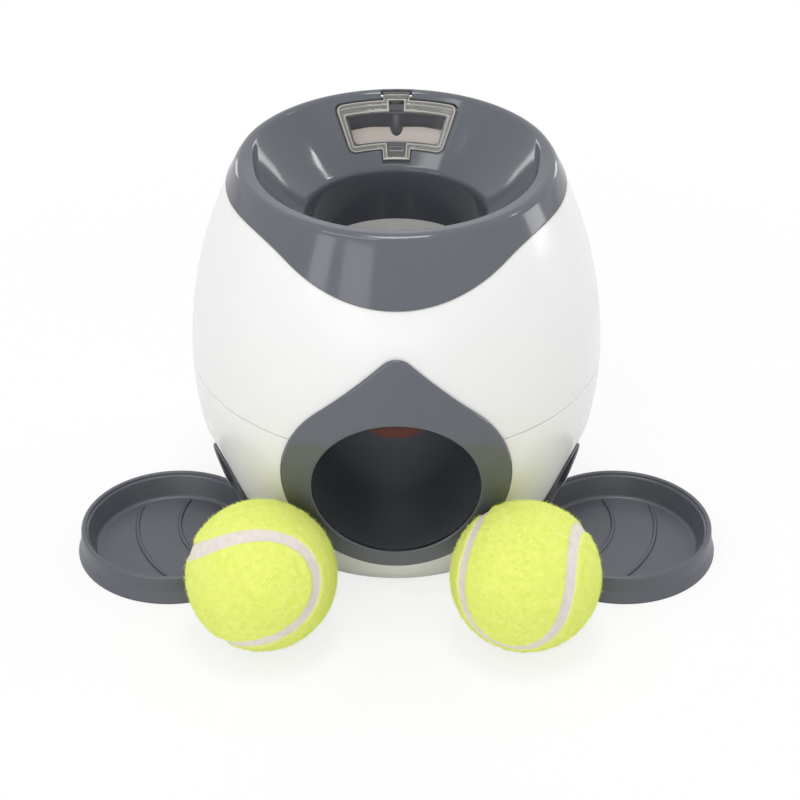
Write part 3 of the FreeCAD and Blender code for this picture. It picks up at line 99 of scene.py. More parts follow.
def terraces(levels: Array, top: Array, around: bool = False) -> Solid:
    """A solid cut in terraces out of a grid: each cell's upper face lies on the level that top names.

    The last level is the underside, and a cell whose top is the last level is an opening. Upright walls
    join neighbouring cells of different levels, one strip for each level between them.

    Args:
        levels: points of shape (levels, rows, columns, 3), the outer skin first.
        top: the level of each cell, of shape (rows - 1 or rows, columns - 1).
        around: whether the last row of points is joined to the first.

    Returns:
        The points of shape (n, 3) and the four corners of each face.
    """
    count, rows, columns = levels.shape[:3]
    index = np.arange(count * rows * columns).reshape(count, rows, columns)
    if around:
        index = np.concatenate([index, index[:, :1]], axis=1)
    corners = index[:, :-1, :-1], index[:, 1:, :-1], index[:, 1:, 1:], index[:, :-1, 1:]
    faces = [np.stack([c[level][top == level] for c in corners], -1) for level in range(count - 1)]
    solid = top < count - 1
    faces.append(np.stack([c[-1][solid] for c in (corners[0], corners[3], corners[2], corners[1])], -1))
    open_row = np.full((1, top.shape[1]), count - 1)
    before = np.concatenate([top[-1:] if around else open_row, top])
    after = np.concatenate([top, top[:1] if around else open_row])
    if around:
        before, after = before[:-1], after[:-1]
    spans = [(index[:, : len(before), :-1], index[:, : len(before), 1:], before, after)]
    open_column = np.full((top.shape[0], 1), count - 1)
    before, after = np.concatenate([open_column, top], 1), np.concatenate([top, open_column], 1)
    spans.append((index[:, 1:, :], index[:, :-1, :], before, after))
    for start, end, before, after in spans:
        for level in range(count - 1):
            down = (before <= level) & (level < after)
            up = (after <= level) & (level < before)
            a, b, c, d = start[level], end[level], end[level + 1], start[level + 1]
            faces.append(np.stack([x[down] for x in (b, a, d, c)], -1))
            faces.append(np.stack([x[up] for x in (a, b, c, d)], -1))
    return levels.reshape(-1, 3), np.concatenate(faces)


def lattice(points: Array, close_rows: bool = False, close_columns: bool = False) -> Solid:
    """The faces of one skin through a grid of points, wrapped round in either direction.

    Args:
        points: points of shape (rows, columns, 3).
        close_rows: whether the last row is joined to the first.
        close_columns: whether the last column is joined to the first.

    Returns:
        The points of shape (n, 3) and the four corners of each face.
    """
    rows, columns = points.shape[:2]
    index = np.arange(rows * columns).reshape(rows, columns)
    index = np.concatenate([index, index[:1]]) if close_rows else index
    index = np.concatenate([index, index[:, :1]], 1) if close_columns else index
    faces = np.stack([index[:-1, :-1], index[1:, :-1], index[1:, 1:], index[:-1, 1:]], -1).reshape(-1, 4)
    return points.reshape(-1, 3), faces


def outward(solid: Solid) -> Solid:
    """The same closed solid with its faces pointing outwards, by the sign of the volume that they enclose.

    Args:
        solid: its points and the four corners of each face.

    Returns:
        The same points, and the faces turned round if need be.
    """
    points, faces = solid
    a, b, c, d = (points[faces[:, i]] for i in range(4))
    volume = np.einsum("ij,ij->", a, np.cross(b, c)) + np.einsum("ij,ij->", a, np.cross(c, d))
    return (points, faces[:, ::-1]) if volume < 0 else (points, faces)


def rounded(corners: Sequence[tuple[float, float, float]], steps: int = 5, closed: bool = True) -> Array:
    """A flat outline whose corners are turned by arcs.

    Each corner is replaced by the arc that touches both of its sides, at the distance from the corner
    that is the radius over the tangent of half the angle between the sides.

    Args:
        corners: (across, up, radius) of each corner in order.
        steps: how many spans each arc has.
        closed: whether the last corner is joined to the first.

    Returns:
        The outline's points, of shape (n, 2).
    """
    places, radii = np.array([c[:2] for c in corners], float), np.array([c[2] for c in corners], float)
    out = []
    for i, (place, radius) in enumerate(zip(places, radii)):
        if radius <= 0 or (not closed and i in (0, len(places) - 1)):
            out.append(place[None])
            continue
        to_last, to_next = places[i - 1] - place, places[(i + 1) % len(places)] - place
        to_last, to_next = to_last / np.linalg.norm(to_last), to_next / np.linalg.norm(to_next)
        half = math.acos(float(np.clip(to_last @ to_next, -1, 1))) / 2
        middle = (to_last + to_next) / np.linalg.norm(to_last + to_next)
        centre = place + middle * radius / math.sin(half)
        start = place + to_last * radius / math.tan(half) - centre
        end = place + to_next * radius / math.tan(half) - centre
        turn = math.atan2(start[0] * end[1] - start[1] * end[0], float(start @ end))
        angles = np.linspace(0, turn, steps + 1)[:, None]
        normal = np.array([-start[1], start[0]])
        out.append(centre + np.cos(angles) * start + np.sin(angles) * normal)
    return np.concatenate(out)


def turned(outline: Array, steps: int = 160) -> Solid:
    """A closed outline of (radius, height) carried once round the Z axis.

    Args:
        outline: its points, of shape (n, 2).
        steps: how many spans there are round the axis.

    Returns:
        The points and faces of the solid.
    """
    angle = np.linspace(0, 2 * math.pi, steps, endpoint=False)[:, None]
    radius, height = outline[None, :, 0], outline[None, :, 1]
    points = np.stack([radius * np.cos(angle), radius * np.sin(angle), height + 0 * angle], -1)
    return outward(lattice(points, close_rows=True, close_columns=True))


def capped(sections: Array) -> Solid:
    """A closed solid through a row of closed sections, whose ends are drawn together to their middles."""
    ends = [np.broadcast_to(s.mean(0), s.shape)[None] for s in (sections[0], sections[-1])]
    return outward(lattice(np.concatenate([ends[0], sections, ends[1]]), close_columns=True))


def normals(points: Array, around: bool = False) -> Array:
    """Unit normals of a grid of points: the cross product of its two directions' differences.

    Args:
        points: points of shape (rows, columns, 3).
        around: whether the last row is joined to the first.

    Returns:
        One normal for each point.
    """
    if around:
        wide = np.concatenate([points[-1:], points, points[:1]])
        along = (wide[2:] - wide[:-2]) / 2
    else:
        along = np.gradient(points, axis=0)
    cross = np.cross(along, np.gradient(points, axis=1))
    return cross / np.maximum(np.linalg.norm(cross, axis=-1, keepdims=True), 1e-12)


def eased(share: Array) -> Array:
    """An S-curve from 0 to 1: three times the square less twice the cube."""
    return share * share * (3 - 2 * share)


def bend_corner(
    u: Array, v: Array, corner: tuple[float, float], inward: tuple[int, int], radius: float, reach: float
) -> None:
    """Draws grid lines round a corner: squares about the arc's centre become circles, fading out beyond it.

    Args:
        u: the grid's first coordinate, changed in place.
        v: the grid's second coordinate, changed in place.
        corner: where the two straight sides would meet.
        inward: the signs of the directions from the corner into the shape.
        radius: the arc's radius.
        reach: how far past the corner the lines are still drawn in.
    """
    centre = corner[0] + inward[0] * radius, corner[1] + inward[1] * radius
    p, q = (centre[0] - u) * inward[0] / radius, (centre[1] - v) * inward[1] / radius
    side, far = np.maximum(p, q), np.hypot(p, q)
    near = (p > 0) & (q > 0) & (side < 1 + reach / radius)
    fade = np.clip(1 - (side - 1) * radius / reach, 0, 1)
    scale = np.where(near, 1 + (side / np.maximum(far, 1e-9) - 1) * fade, 1.0)
    u += np.where(near, (centre[0] - u) * (1 - scale), 0)
    v += np.where(near, (centre[1] - v) * (1 - scale), 0)


@dataclass(frozen=True)
class Softening:
    """How crisp edges are turned into small rounds: the width in mm and the number of spans."""

    width: float = 0.4
    segments: int = 2
    angle: float = 38.0


def make_piece(
    name: str,
    solids: Sequence[Solid],
    body: str,
    material: Material,
    nodes: Sequence[str] = (),
    soften: Optional[Softening] = None,
    attributes: Optional[dict[str, Array]] = None,
    cut: Optional[tuple[Array, Array]] = None,
) -> Object:
    """Puts solids into one mesh object and parents it to its body's empty.

    Args:
        name: the piece's name.
        solids: points in mm and faces of each closed solid.
        body: the CAD body that it rides on.
        material: its material.
        nodes: the CAD nodes that it stands for.
        soften: the rounding of its crisp edges, if any.
        attributes: numbers for each point, by name, kept while doubles are merged.
        cut: a point in mm and a direction: all beyond that plane is cut off and the cut closed.

    Returns:
        The object.
    """
    offset, points, faces = 0, [], []
    for solid_points, solid_faces in solids:
        points.append(solid_points)
        faces.append(solid_faces + offset)
        offset += len(solid_points)
    mesh = bpy.data.meshes.new(name)
    mesh.from_pydata((np.concatenate(points) * MM).tolist(), [], np.concatenate(faces).tolist())
    for key, values in (attributes or {}).items():
        layer = mesh.attributes.new(key, "FLOAT", "POINT")
        layer.data.foreach_set("value", np.ascontiguousarray(values, np.float32))
    work = bmesh.new()
    work.from_mesh(mesh)
    bmesh.ops.remove_doubles(work, verts=work.verts, dist=2e-6)
    bmesh.ops.dissolve_degenerate(work, edges=work.edges, dist=1e-6)
    loose = [v for v in work.verts if not v.link_faces]
    bmesh.ops.delete(work, geom=loose, context="VERTS")
    if cut is not None:
        plane = bmesh.ops.bisect_plane(
            work,
            geom=[*work.verts, *work.edges, *work.faces],
            dist=1e-7,
            plane_co=Vector(cut[0] * MM),
            plane_no=Vector(cut[1]),
            clear_outer=True,
        )
        rim = [e for e in plane["geom_cut"] if isinstance(e, bmesh.types.BMEdge)]
        bmesh.ops.triangle_fill(work, edges=rim, use_beauty=True, normal=Vector(cut[1]))
        bmesh.ops.recalc_face_normals(work, faces=work.faces)
    work.to_mesh(mesh)
    work.free()
    mesh.shade_smooth()
    item = bpy.data.objects.new(name, mesh)
    bpy.context.scene.collection.objects.link(item)
    mesh.materials.append(material)
    if soften is not None:
        bevel = item.modifiers.new("rounded_edges", "BEVEL")
        bevel.width, bevel.segments = soften.width * MM, soften.segments
        bevel.limit_method, bevel.angle_limit = "ANGLE", math.radians(soften.angle)
        bevel.use_clamp_overlap, bevel.harden_normals = False, True
    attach(item, body)
    if nodes:
        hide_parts(*nodes)
    LOG.info("%s: %d points, %d faces, rides on %s", name, len(mesh.vertices), len(mesh.polygons), body)
    return item


# ---------------------------------------------------------------- finishes


def linear(red: float, green: float, blue: float) -> Colour:
    """A screen colour of 0 to 255 as the renderer's linear colour: the screen's own curve undone."""
    channels = (x / 255 for x in (red, green, blue))
    return (*[x / 12.92 if x <= 0.04045 else ((x + 0.055) / 1.055) ** 2.4 for x in channels], 1.0)


class Nodes:
    """A material under construction: its node tree, its surface shader and its place reading."""

    def __init__(self, name: str) -> None:
        """Starts a material with a surface shader that reads object coordinates.

        Args:
            name: the material's name.
        """
        self.material = bpy.data.materials.new(name)
        self.material.use_nodes = True
        self.tree = self.material.node_tree
        self.surface = self.tree.nodes["Principled BSDF"]
        self.place = self.tree.nodes.new("ShaderNodeTexCoord").outputs["Object"]

    def link(self, start: Socket, end: Socket) -> None:
        """Joins two sockets."""
        self.tree.links.new(start, end)

    def noise(self, scale: float, detail: float = 2.0, roughness: float = 0.5) -> Socket:
        """Smooth noise with that many features per metre.

        Args:
            scale: features per metre.
            detail: how many finer octaves are laid over it.
            roughness: how strong the finer octaves are.

        Returns:
            The noise, from 0 to 1.
        """
        node = self.tree.nodes.new("ShaderNodeTexNoise")
        node.inputs["Scale"].default_value = scale
        node.inputs["Detail"].default_value = detail
        node.inputs["Roughness"].default_value = roughness
        self.link(self.place, node.inputs["Vector"])
        return node.outputs["Fac"]

    def spread(self, value: Socket, low: float, high: float, start: float = 0.3, end: float = 0.7) -> Socket:
        """A value between start and end spread over low to high.

        Args:
            value: the number that is spread.
            low: the result at the start.
            high: the result at the end.
            start: where the range begins.
            end: where it ends.

        Returns:
            The number in its new range.
        """
        node = self.tree.nodes.new("ShaderNodeMapRange")
        for key, number in (("From Min", start), ("From Max", end), ("To Min", low), ("To Max", high)):
            node.inputs[key].default_value = number
        self.link(value, node.inputs["Value"])
        return node.outputs["Result"]

    def attribute(self, name: str) -> Socket:
        """The number that the mesh holds for each point under a name.

        Args:
            name: the attribute's name.

        Returns:
            The number.
        """
        node = self.tree.nodes.new("ShaderNodeAttribute")
        node.attribute_name = name
        return node.outputs["Fac"]

    def mixed(self, factor: Socket, first: Socket | Colour, second: Socket | Colour) -> Socket:
        """Two colours mixed by a factor.

        Args:
            factor: 0 for the first colour and 1 for the second.
            first: a colour or a socket.
            second: a colour or a socket.

        Returns:
            The mixed colour.
        """
        node = self.tree.nodes.new("ShaderNodeMix")
        node.data_type = "RGBA"
        self.link(factor, node.inputs[0])
        for colour, socket in ((first, node.inputs[6]), (second, node.inputs[7])):
            if isinstance(colour, Socket):
                self.link(colour, socket)
            else:
                socket.default_value = colour
        return node.outputs[2]

    def bump(
        self, height: Socket, distance: float, strength: float = 1.0, onto: Optional[Socket] = None
    ) -> Socket:
        """A normal that a height of that many metres tilts.

        Args:
            height: the height, from 0 to 1.
            distance: how many metres a height of 1 stands for.
            strength: how much of the tilt is kept.
            onto: a normal that is tilted further, if any.

        Returns:
            The tilted normal.
        """
        node = self.tree.nodes.new("ShaderNodeBump")
        node.inputs["Distance"].default_value = distance
        node.inputs["Strength"].default_value = strength
        self.link(height, node.inputs["Height"])
        if onto is not None:
            self.link(onto, node.inputs["Normal"])
        return node.outputs["Normal"]

    def set(self, **values: float | Sequence[float]) -> None:
        """Plain numbers and colours on the surface shader, by socket name with underscores for spaces."""
        for key, number in values.items():
            self.surface.inputs[key.replace("_", " ")].default_value = number


def shade(colour: Colour, factor: float) -> Colour:
    """A colour made lighter or darker by a factor."""
    return (*[min(1.0, c * factor) for c in colour[:3]], 1.0)


@dataclass(frozen=True)
class Moulded:
    """A moulded plastic, a rubber or a plain metal: faint clouds of colour and a skin with fine texture."""

    name: str
    colour: Colour
    roughness: float = 0.2
    swing: float = 0.05
    clouds: float = 0.04
    grain: float = 0.000006
    grain_scale: float = 2600.0
    waviness: float = 0.00001
    coat: float = 0.0
    metallic: float = 0.0

    def material(self) -> Material:
        """Clouds of colour 25 mm across, roughness that varies over 8 mm, fine grain and slow waviness.

        Returns:
            The material.
        """
        n = Nodes(self.name)
        clouds = n.spread(n.noise(38, 3), 0, 1)
        dull, bright = shade(self.colour, 1 - self.clouds), shade(self.colour, 1 + self.clouds)
        n.link(n.mixed(clouds, dull, bright), n.surface.inputs["Base Color"])
        rough = n.spread(n.noise(120, 4), self.roughness - self.swing, self.roughness + self.swing)
        n.link(rough, n.surface.inputs["Roughness"])
        slow = n.bump(n.noise(45, 1), self.waviness)
        n.link(n.bump(n.noise(self.grain_scale, 2), self.grain, onto=slow), n.surface.inputs["Normal"])
        n.set(Metallic=self.metallic, Coat_Weight=self.coat, Coat_Roughness=0.06)
        return n.material


@dataclass(frozen=True)
class Smoky:
    """Smoky clear plastic: see-through panes and duller bands, with pale lines painted on as highlights along
    the edges, by the mesh's edge attribute.
    """

    name: str
    pane: Colour
    edge: Colour
    roughness: float = 0.05

    def material(self) -> Material:
        """Cover and a pale colour both rise with the attribute, the pale colour a painted highlight on the
        lid's edge lines; with faint clouds and a slow waviness of the skin.

        Returns:
            The material.
        """
        n = Nodes(self.name)
        edge = n.attribute("edge")
        pane = n.mixed(n.spread(n.noise(60, 2), 0, 1), shade(self.pane, 0.9), shade(self.pane, 1.1))
        n.link(n.mixed(n.spread(edge, 0, 1, 0.3, 0.9), pane, self.edge), n.surface.inputs["Base Color"])
        n.link(n.spread(edge, 0.06, 0.95, 0.0, 1.0), n.surface.inputs["Alpha"])
        rough = n.spread(n.noise(200, 3), self.roughness * 0.6, self.roughness * 1.4)
        n.link(rough, n.surface.inputs["Roughness"])
        n.link(n.bump(n.noise(90, 2), 0.00002), n.surface.inputs["Normal"])
        n.set(IOR=1.55)
        return n.material


@dataclass(frozen=True)
class Felt:
    """Napped tennis felt with its pale seam, mixed by the mesh's seam attribute."""

    name: str
    nap: Colour
    shadow: Colour
    seam: Colour

    def material(self) -> Material:
        """Tufts in two sizes lighten and darken the nap; the seam is smoother and pale.

        Returns:
            The material.
        """
        n = Nodes(self.name)
        tufts, fibres = n.noise(420, 5, 0.65), n.noise(2300, 3, 0.7)
        both = n.tree.nodes.new("ShaderNodeMath")
        both.operation = "ADD"
        n.link(n.spread(tufts, 0, 0.55, 0.3, 0.72), both.inputs[0])
        n.link(n.spread(fibres, 0, 0.45, 0.3, 0.7), both.inputs[1])
        nap = n.mixed(both.outputs[0], self.shadow, self.nap)
        seam = n.mixed(n.spread(n.noise(300, 3), 0, 1), shade(self.seam, 0.88), self.seam)
        n.link(n.mixed(n.attribute("seam"), nap, seam), n.surface.inputs["Base Color"])
        n.link(n.spread(fibres, 0.85, 1.0), n.surface.inputs["Roughness"])
        n.link(n.bump(fibres, 0.0005, 0.7, n.bump(tufts, 0.0012, 0.6)), n.surface.inputs["Normal"])
        n.set(Sheen_Weight=0.35, Sheen_Roughness=0.5, Sheen_Tint=(0.9, 1.0, 0.4, 1.0), Specular_IOR_Level=0.2)
        return n.material


@dataclass
class Palette:
    """Every finish of the dispenser, by its name."""

    finishes: tuple[Moulded | Smoky | Felt, ...] = (
        Moulded("white_shell", linear(238, 237, 237), 0.24, 0.03, 0.006, 0.000002, coat=0.1, waviness=0.000008),
        Moulded("white_inner", linear(240, 240, 238), 0.4, 0.05, 0.01, 0.000005),
        Moulded("dark_plastic", linear(92, 95, 103), 0.11, 0.015, 0.02, 0.000002, waviness=0.000012),
        Moulded("tray_plastic", linear(85, 88, 96), 0.34, 0.03, 0.02, 0.000003),
        Moulded("dark_satin", linear(76, 79, 86), 0.42, 0.04, 0.02, 0.000004),
        # The smoky lid's second colour is a painted highlight: the pale lines along the lid's edges.
        Smoky("smoky_clear", linear(98, 96, 93), linear(232, 230, 220)),
        Moulded("cream_plastic", linear(216, 205, 196), 0.37, 0.05, 0.03, 0.000005),
        # The flap's own orange, darkened as painted shade for the shade that it lies in under the mask.
        Moulded("orange_plastic", linear(104, 38, 17), 0.37, 0.05, 0.03, 0.000005),
        Moulded("grip_rubber", linear(60, 60, 60), 0.8, 0.08, 0.06, 0.00003, 1500),
        Moulded("ball_rubber", linear(120, 118, 112), 0.75, 0.08, 0.05, 0.00003, 1500),
        Felt("yellow_felt", linear(250, 255, 152), linear(228, 243, 92), linear(243, 233, 230)),
        Moulded("steel", linear(190, 192, 195), 0.3, 0.08, 0.05, 0.000004, 3500, metallic=1.0),
    )
    made: dict[str, Material] = field(default_factory=dict)

    def __getitem__(self, name: str) -> Material:
        """The material of a finish, made the first time that it is asked for.

        Args:
            name: the finish's name.

        Returns:
            The material.
        """
        if name not in self.made:
            self.made[name] = next(finish for finish in self.finishes if finish.name == name).material()
        return self.made[name]


# ---------------------------------------------------------------- the barrel's form


@dataclass(frozen=True)
class Barrel:
    """The body's side view: two arcs that meet upright at the belly."""

    belly_radius: float = 91.3
    belly_height: float = 85.0
    lower_bulge: float = 149.3
    upper_bulge: float = 191.6

    def radius(self, height: Array, offset: Array | float = 0.0) -> Array:
        """The radius at a height: the offset circle's root, less how far its centre is past the axis."""
        bulge = np.where(height < self.belly_height, self.lower_bulge, self.upper_bulge)
        return self.belly_radius - bulge + np.sqrt((bulge + offset) ** 2 - (height - self.belly_height) ** 2)


@dataclass(frozen=True)
class Facet:
    """A flat on the barrel's side that faces outwards, forwards and down, where a treat outlet opens."""

    side: Side
    forward: float = 21.4
    tilt: float = 20.6
    distance: float = 62.9

    @property
    def azimuth(self) -> float:
        """The direction that it faces, in radians from +X."""
        turn = math.radians(self.forward)
        return -turn if self.side is Side.RIGHT else math.pi + turn

    def axes(self) -> tuple[Array, Array, Array]:
        """Unit directions: outwards and square to the flat, across it, and up its slope.

        Returns:
            The three directions in that order.
        """
        out = np.array([math.cos(self.azimuth), math.sin(self.azimuth), 0.0])
        lean = math.radians(self.tilt)
        across = np.array([-out[1], out[0], 0.0])
        up = np.array([0.0, 0.0, 1.0])
        return math.cos(lean) * out - math.sin(lean) * up, across, math.sin(lean) * out + math.cos(lean) * up

    def radius(self, azimuth: Array, height: Array) -> Array:
        """How far from the barrel's axis the flat lies in a direction: the plane's equation solved for it.

        Args:
            azimuth: directions in radians from +X.
            height: heights above the floor.

        Returns:
            The distances, or NEVER where the flat faces away.
        """
        lean, least = math.radians(self.tilt), 0.05
        facing = np.cos(azimuth - self.azimuth)
        reach = (self.distance + math.sin(lean) * height) / (math.cos(lean) * np.maximum(facing, least))
        return np.where(facing > least, reach, NEVER)

    def slope_place(self, height: float, distance: Optional[float] = None) -> float:
        """How far up the slope a height lies, on the flat at that distance."""
        lean = math.radians(self.tilt)
        return (height + (distance or self.distance) * math.sin(lean)) / math.cos(lean)


def soft_less(first: Array, second: Array, width: float) -> Array:
    """The lesser of two values, rounded where they are nearly equal."""
    share = np.maximum(width - np.abs(first - second), 0) / width
    return np.minimum(first, second) - share**2 * width / 4


@dataclass
class Shells:
    """The two white halves of the barrel."""

    barrel: Barrel = field(default_factory=Barrel)
    facets: tuple[Facet, ...] = (Facet(Side.RIGHT), Facet(Side.LEFT))
    wall: float = 3.0
    foot: float = 1.2
    top: float = 171.5
    seam_gap: float = 0.22
    hole_radius: float = 40.2
    hole_height: float = 63.7
    recess: float = 1.85
    recess_gap: float = 0.25
    crease: float = 0.8
    outlet_half_width: float = 12.2
    outlet_low: float = 20.0
    outlet_high: float = 41.0
    row_step: float = 1.3
    rows_below: int = 56
    rows_above: int = 10

    def angles(self) -> Array:
        """One direction for every degree round the barrel, in radians from -pi."""
        return np.radians(np.arange(0, 360, 1.0)) - math.pi

    def outer(self, azimuth: Array, height: Array) -> Array:
        """The outer skin's radius: the barrel, cut back softly by both flats.

        Args:
            azimuth: directions in radians from +X.
            height: heights above the floor.

        Returns:
            The radii.
        """
        reach = self.barrel.radius(height)
        for facet in self.facets:
            reach = soft_less(reach, facet.radius(azimuth, height), self.crease)
        return reach

    def snap_to_front_hole(self, azimuth: Array, height: Array, top: Array, opened: int) -> None:
        """Opens the cells inside the round front hole, and draws the points on its edge onto the circle.

        Args:
            azimuth: each point's direction in radians from +X, changed in place.
            height: each point's height, changed in place.
            top: each cell's level, changed in place.
            opened: the level that means an opening.
        """
        across, front = self.barrel.radius(height) * np.cos(azimuth), np.sin(azimuth) < 0
        far = np.hypot(across, height - self.hole_height)
        cell = (far[:-1, :-1] + far[1:, :-1] + far[1:, 1:] + far[:-1, 1:]) / 4
        facing = front[:-1, :-1] & front[1:, :-1]
        hole = (cell < self.hole_radius) & facing
        top[hole] = opened
        rim = around_cells(hole).any(0) & around_cells(~hole, blank=1).any(0)
        edge = rim.copy()
        edge[:, 0] = edge[:, -1] = False
        scale = self.hole_radius / np.maximum(far, 1e-6)
        new_across, new_height = across * scale, self.hole_height + (height - self.hole_height) * scale
        new_azimuth = -np.arccos(np.clip(new_across / self.barrel.radius(new_height), -1, 1))
        azimuth[edge], height[edge] = new_azimuth[edge], new_height[edge]
        for column in (0, -1):
            row = rim[:, column]
            level = height[row, column]
            span = np.sqrt(np.maximum(self.hole_radius**2 - (level - self.hole_height) ** 2, 0))
            sign = np.sign(across[row, column])
            azimuth[row, column] = -np.arccos(np.clip(sign * span / self.barrel.radius(level), -1, 1))

    def layers(self, azimuth: Array, height: Array, depths: Sequence[float]) -> Array:
        """The skin and the skins at depths below it, square to it.

        Args:
            azimuth: each point's direction, in radians from +X.
            height: each point's height.
            depths: how far below the skin each layer lies.

        Returns:
            The layers, of shape (depths, rows, columns, 3).
        """
        reach = self.outer(azimuth, height)
        skin = np.stack([reach * np.cos(azimuth), reach * np.sin(azimuth), height], -1)
        out = normals(skin, around=True)
        flip = np.sign((out[..., :2] * skin[..., :2]).sum(-1, keepdims=True))
        return np.stack([skin - depth * out * flip for depth in depths])

    def lower(self, palette: Palette) -> Object:
        """The lower half, with its round front hole and the two treat outlets.

        Args:
            palette: every finish by its name.

        Returns:
            The piece.
        """
        seam = self.barrel.belly_height - self.seam_gap / 2
        rows = ruled([self.foot, self.outlet_low, self.outlet_high, seam], self.row_step)
        angles = self.angles()
        azimuth, height = np.meshgrid(np.append(angles, angles[0] + 2 * math.pi), rows, indexing="ij")
        azimuth, height = azimuth.copy(), height.copy()
        top = np.zeros((len(angles), len(rows) - 1), int)
        self.snap_to_front_hole(azimuth, height, top, 1)
        azimuth, height = azimuth[:-1], height[:-1]
        for facet in self.facets:
            self.open_outlet(facet, azimuth, height, top, rows)
        levels = self.layers(azimuth, height, (0.0, self.wall))
        levels[1, :, 0, 2], levels[1, :, -1, 2] = self.foot, seam
        return make_piece(
            "lower_shell_skin", [outward(terraces(levels, top, around=True))], "housing",
            palette["white_shell"], ["lower_shell"], Softening(0.5, 3),
        )

    def open_outlet(self, facet: Facet, azimuth: Array, height: Array, top: Array, rows: Array) -> None:
        """Opens the cells of a treat outlet and draws its side edges straight.

        Args:
            facet: the flat that the outlet is in.
            azimuth: each point's direction in radians from +X, changed in place.
            height: each point's height.
            top: each cell's level, changed in place.
            rows: the heights of the grid's lines.
        """
        reach = self.outer(azimuth, height)
        turn = (azimuth - facet.azimuth + math.pi) % (2 * math.pi) - math.pi
        aside = reach * np.sin(turn)
        middle = (aside[:, :-1] + np.roll(aside, -1, 0)[:, :-1]) / 2
        facing = (np.cos(turn) > 0)[:, :-1]
        band = (rows[:-1] >= self.outlet_low - 1e-6) & (rows[1:] <= self.outlet_high + 1e-6)
        hole = (np.abs(middle) < self.outlet_half_width) & facing & band[None]
        top[hole] = 1
        cells = np.where(hole.any(1))[0]
        whole = np.all(np.diff(cells) == 1)
        order = cells if whole else np.roll(cells, -int(np.argmax(np.diff(cells) > 1)) - 1)
        for row in (order[0], (order[-1] + 1) % len(azimuth)):
            edge = np.sign(aside[row]) * self.outlet_half_width
            near = (height[row] > self.outlet_low - 2) & (height[row] < self.outlet_high + 2)
            azimuth[row] = facet.azimuth + np.where(near, np.arcsin(edge / reach[row]), turn[row])

    def upper(self, palette: Palette, edge: "Wave") -> Object:
        """The upper half, set back under the skirt's wavy edge.

        Args:
            palette: every finish by its name.
            edge: the skirt's lower edge.

        Returns:
            The piece.
        """
        seam = self.barrel.belly_height + self.seam_gap / 2
        angles = self.angles()
        line = edge.height_at(np.cos(angles), self.barrel) - self.recess_gap
        rows = np.linspace(0, 1, self.rows_below), 1 + np.linspace(0, 1, self.rows_above)[1:]
        share = np.concatenate(rows)
        below, above = np.clip(share, 0, 1), np.clip(share - 1, 0, 1)
        height = seam + (line[:, None] - seam) * below + (self.top - line[:, None]) * above
        azimuth = np.repeat(angles[:, None], len(share), 1)
        top = np.zeros((len(angles), len(share) - 1), int)
        top[:, share[:-1] >= 1 - 1e-9] = 1
        azimuth = np.concatenate([azimuth, azimuth[:1] + 2 * math.pi])
        height = np.concatenate([height, height[:1]])
        self.snap_to_front_hole(azimuth, height, top, 2)
        levels = self.layers(azimuth[:-1], height[:-1], (0.0, self.recess, self.wall))
        levels[1:, :, 0, 2], levels[1:, :, -1, 2] = seam, self.top
        return make_piece(
            "upper_shell_skin", [outward(terraces(levels, top, around=True))], "housing",
            palette["white_shell"], ["upper_shell"], Softening(0.45, 3),
        )


@dataclass(frozen=True)
class Wave:
    """The skirt's lower edge seen from the front: a valley arc that two crest arcs carry to a level line."""

    low: float = 149.0
    valley: float = 90.0
    crest: float = 40.0
    angle: float = 30.4

    def height(self, across: Array) -> Array:
        """The edge's height at a distance to the side: each arc's circle solved for it.

        Args:
            across: distances from the middle, to either side.

        Returns:
            The heights.
        """
        turn = math.radians(self.angle)
        far = np.abs(across)
        join, run = self.valley * math.sin(turn), (self.valley + self.crest) * math.sin(turn)
        level = self.low + (self.valley + self.crest) * (1 - math.cos(turn))
        valley = self.low + self.valley - np.sqrt(np.maximum(self.valley**2 - np.minimum(far, join) ** 2, 0))
        left = np.clip(run - far, 0, run - join)
        crest = level - self.crest + np.sqrt(np.maximum(self.crest**2 - left**2, 0))
        return np.where(far < join, valley, np.where(far < run, crest, level))

    def height_at(self, side: Array, barrel: Barrel, offset: float = 0.0) -> Array:
        """The edge's height on the barrel, found by repeated guesses.

        Args:
            side: the sine of the direction's angle from straight ahead or behind.
            barrel: the barrel that the edge lies on.
            offset: how far outside the barrel it lies, in mm.

        Returns:
            The heights in mm.
        """
        height = np.full_like(side, self.low)
        for _ in range(12):
            height = self.height(barrel.radius(height, offset) * side)
        return height


# ---------------------------------------------------------------- hopper and lid


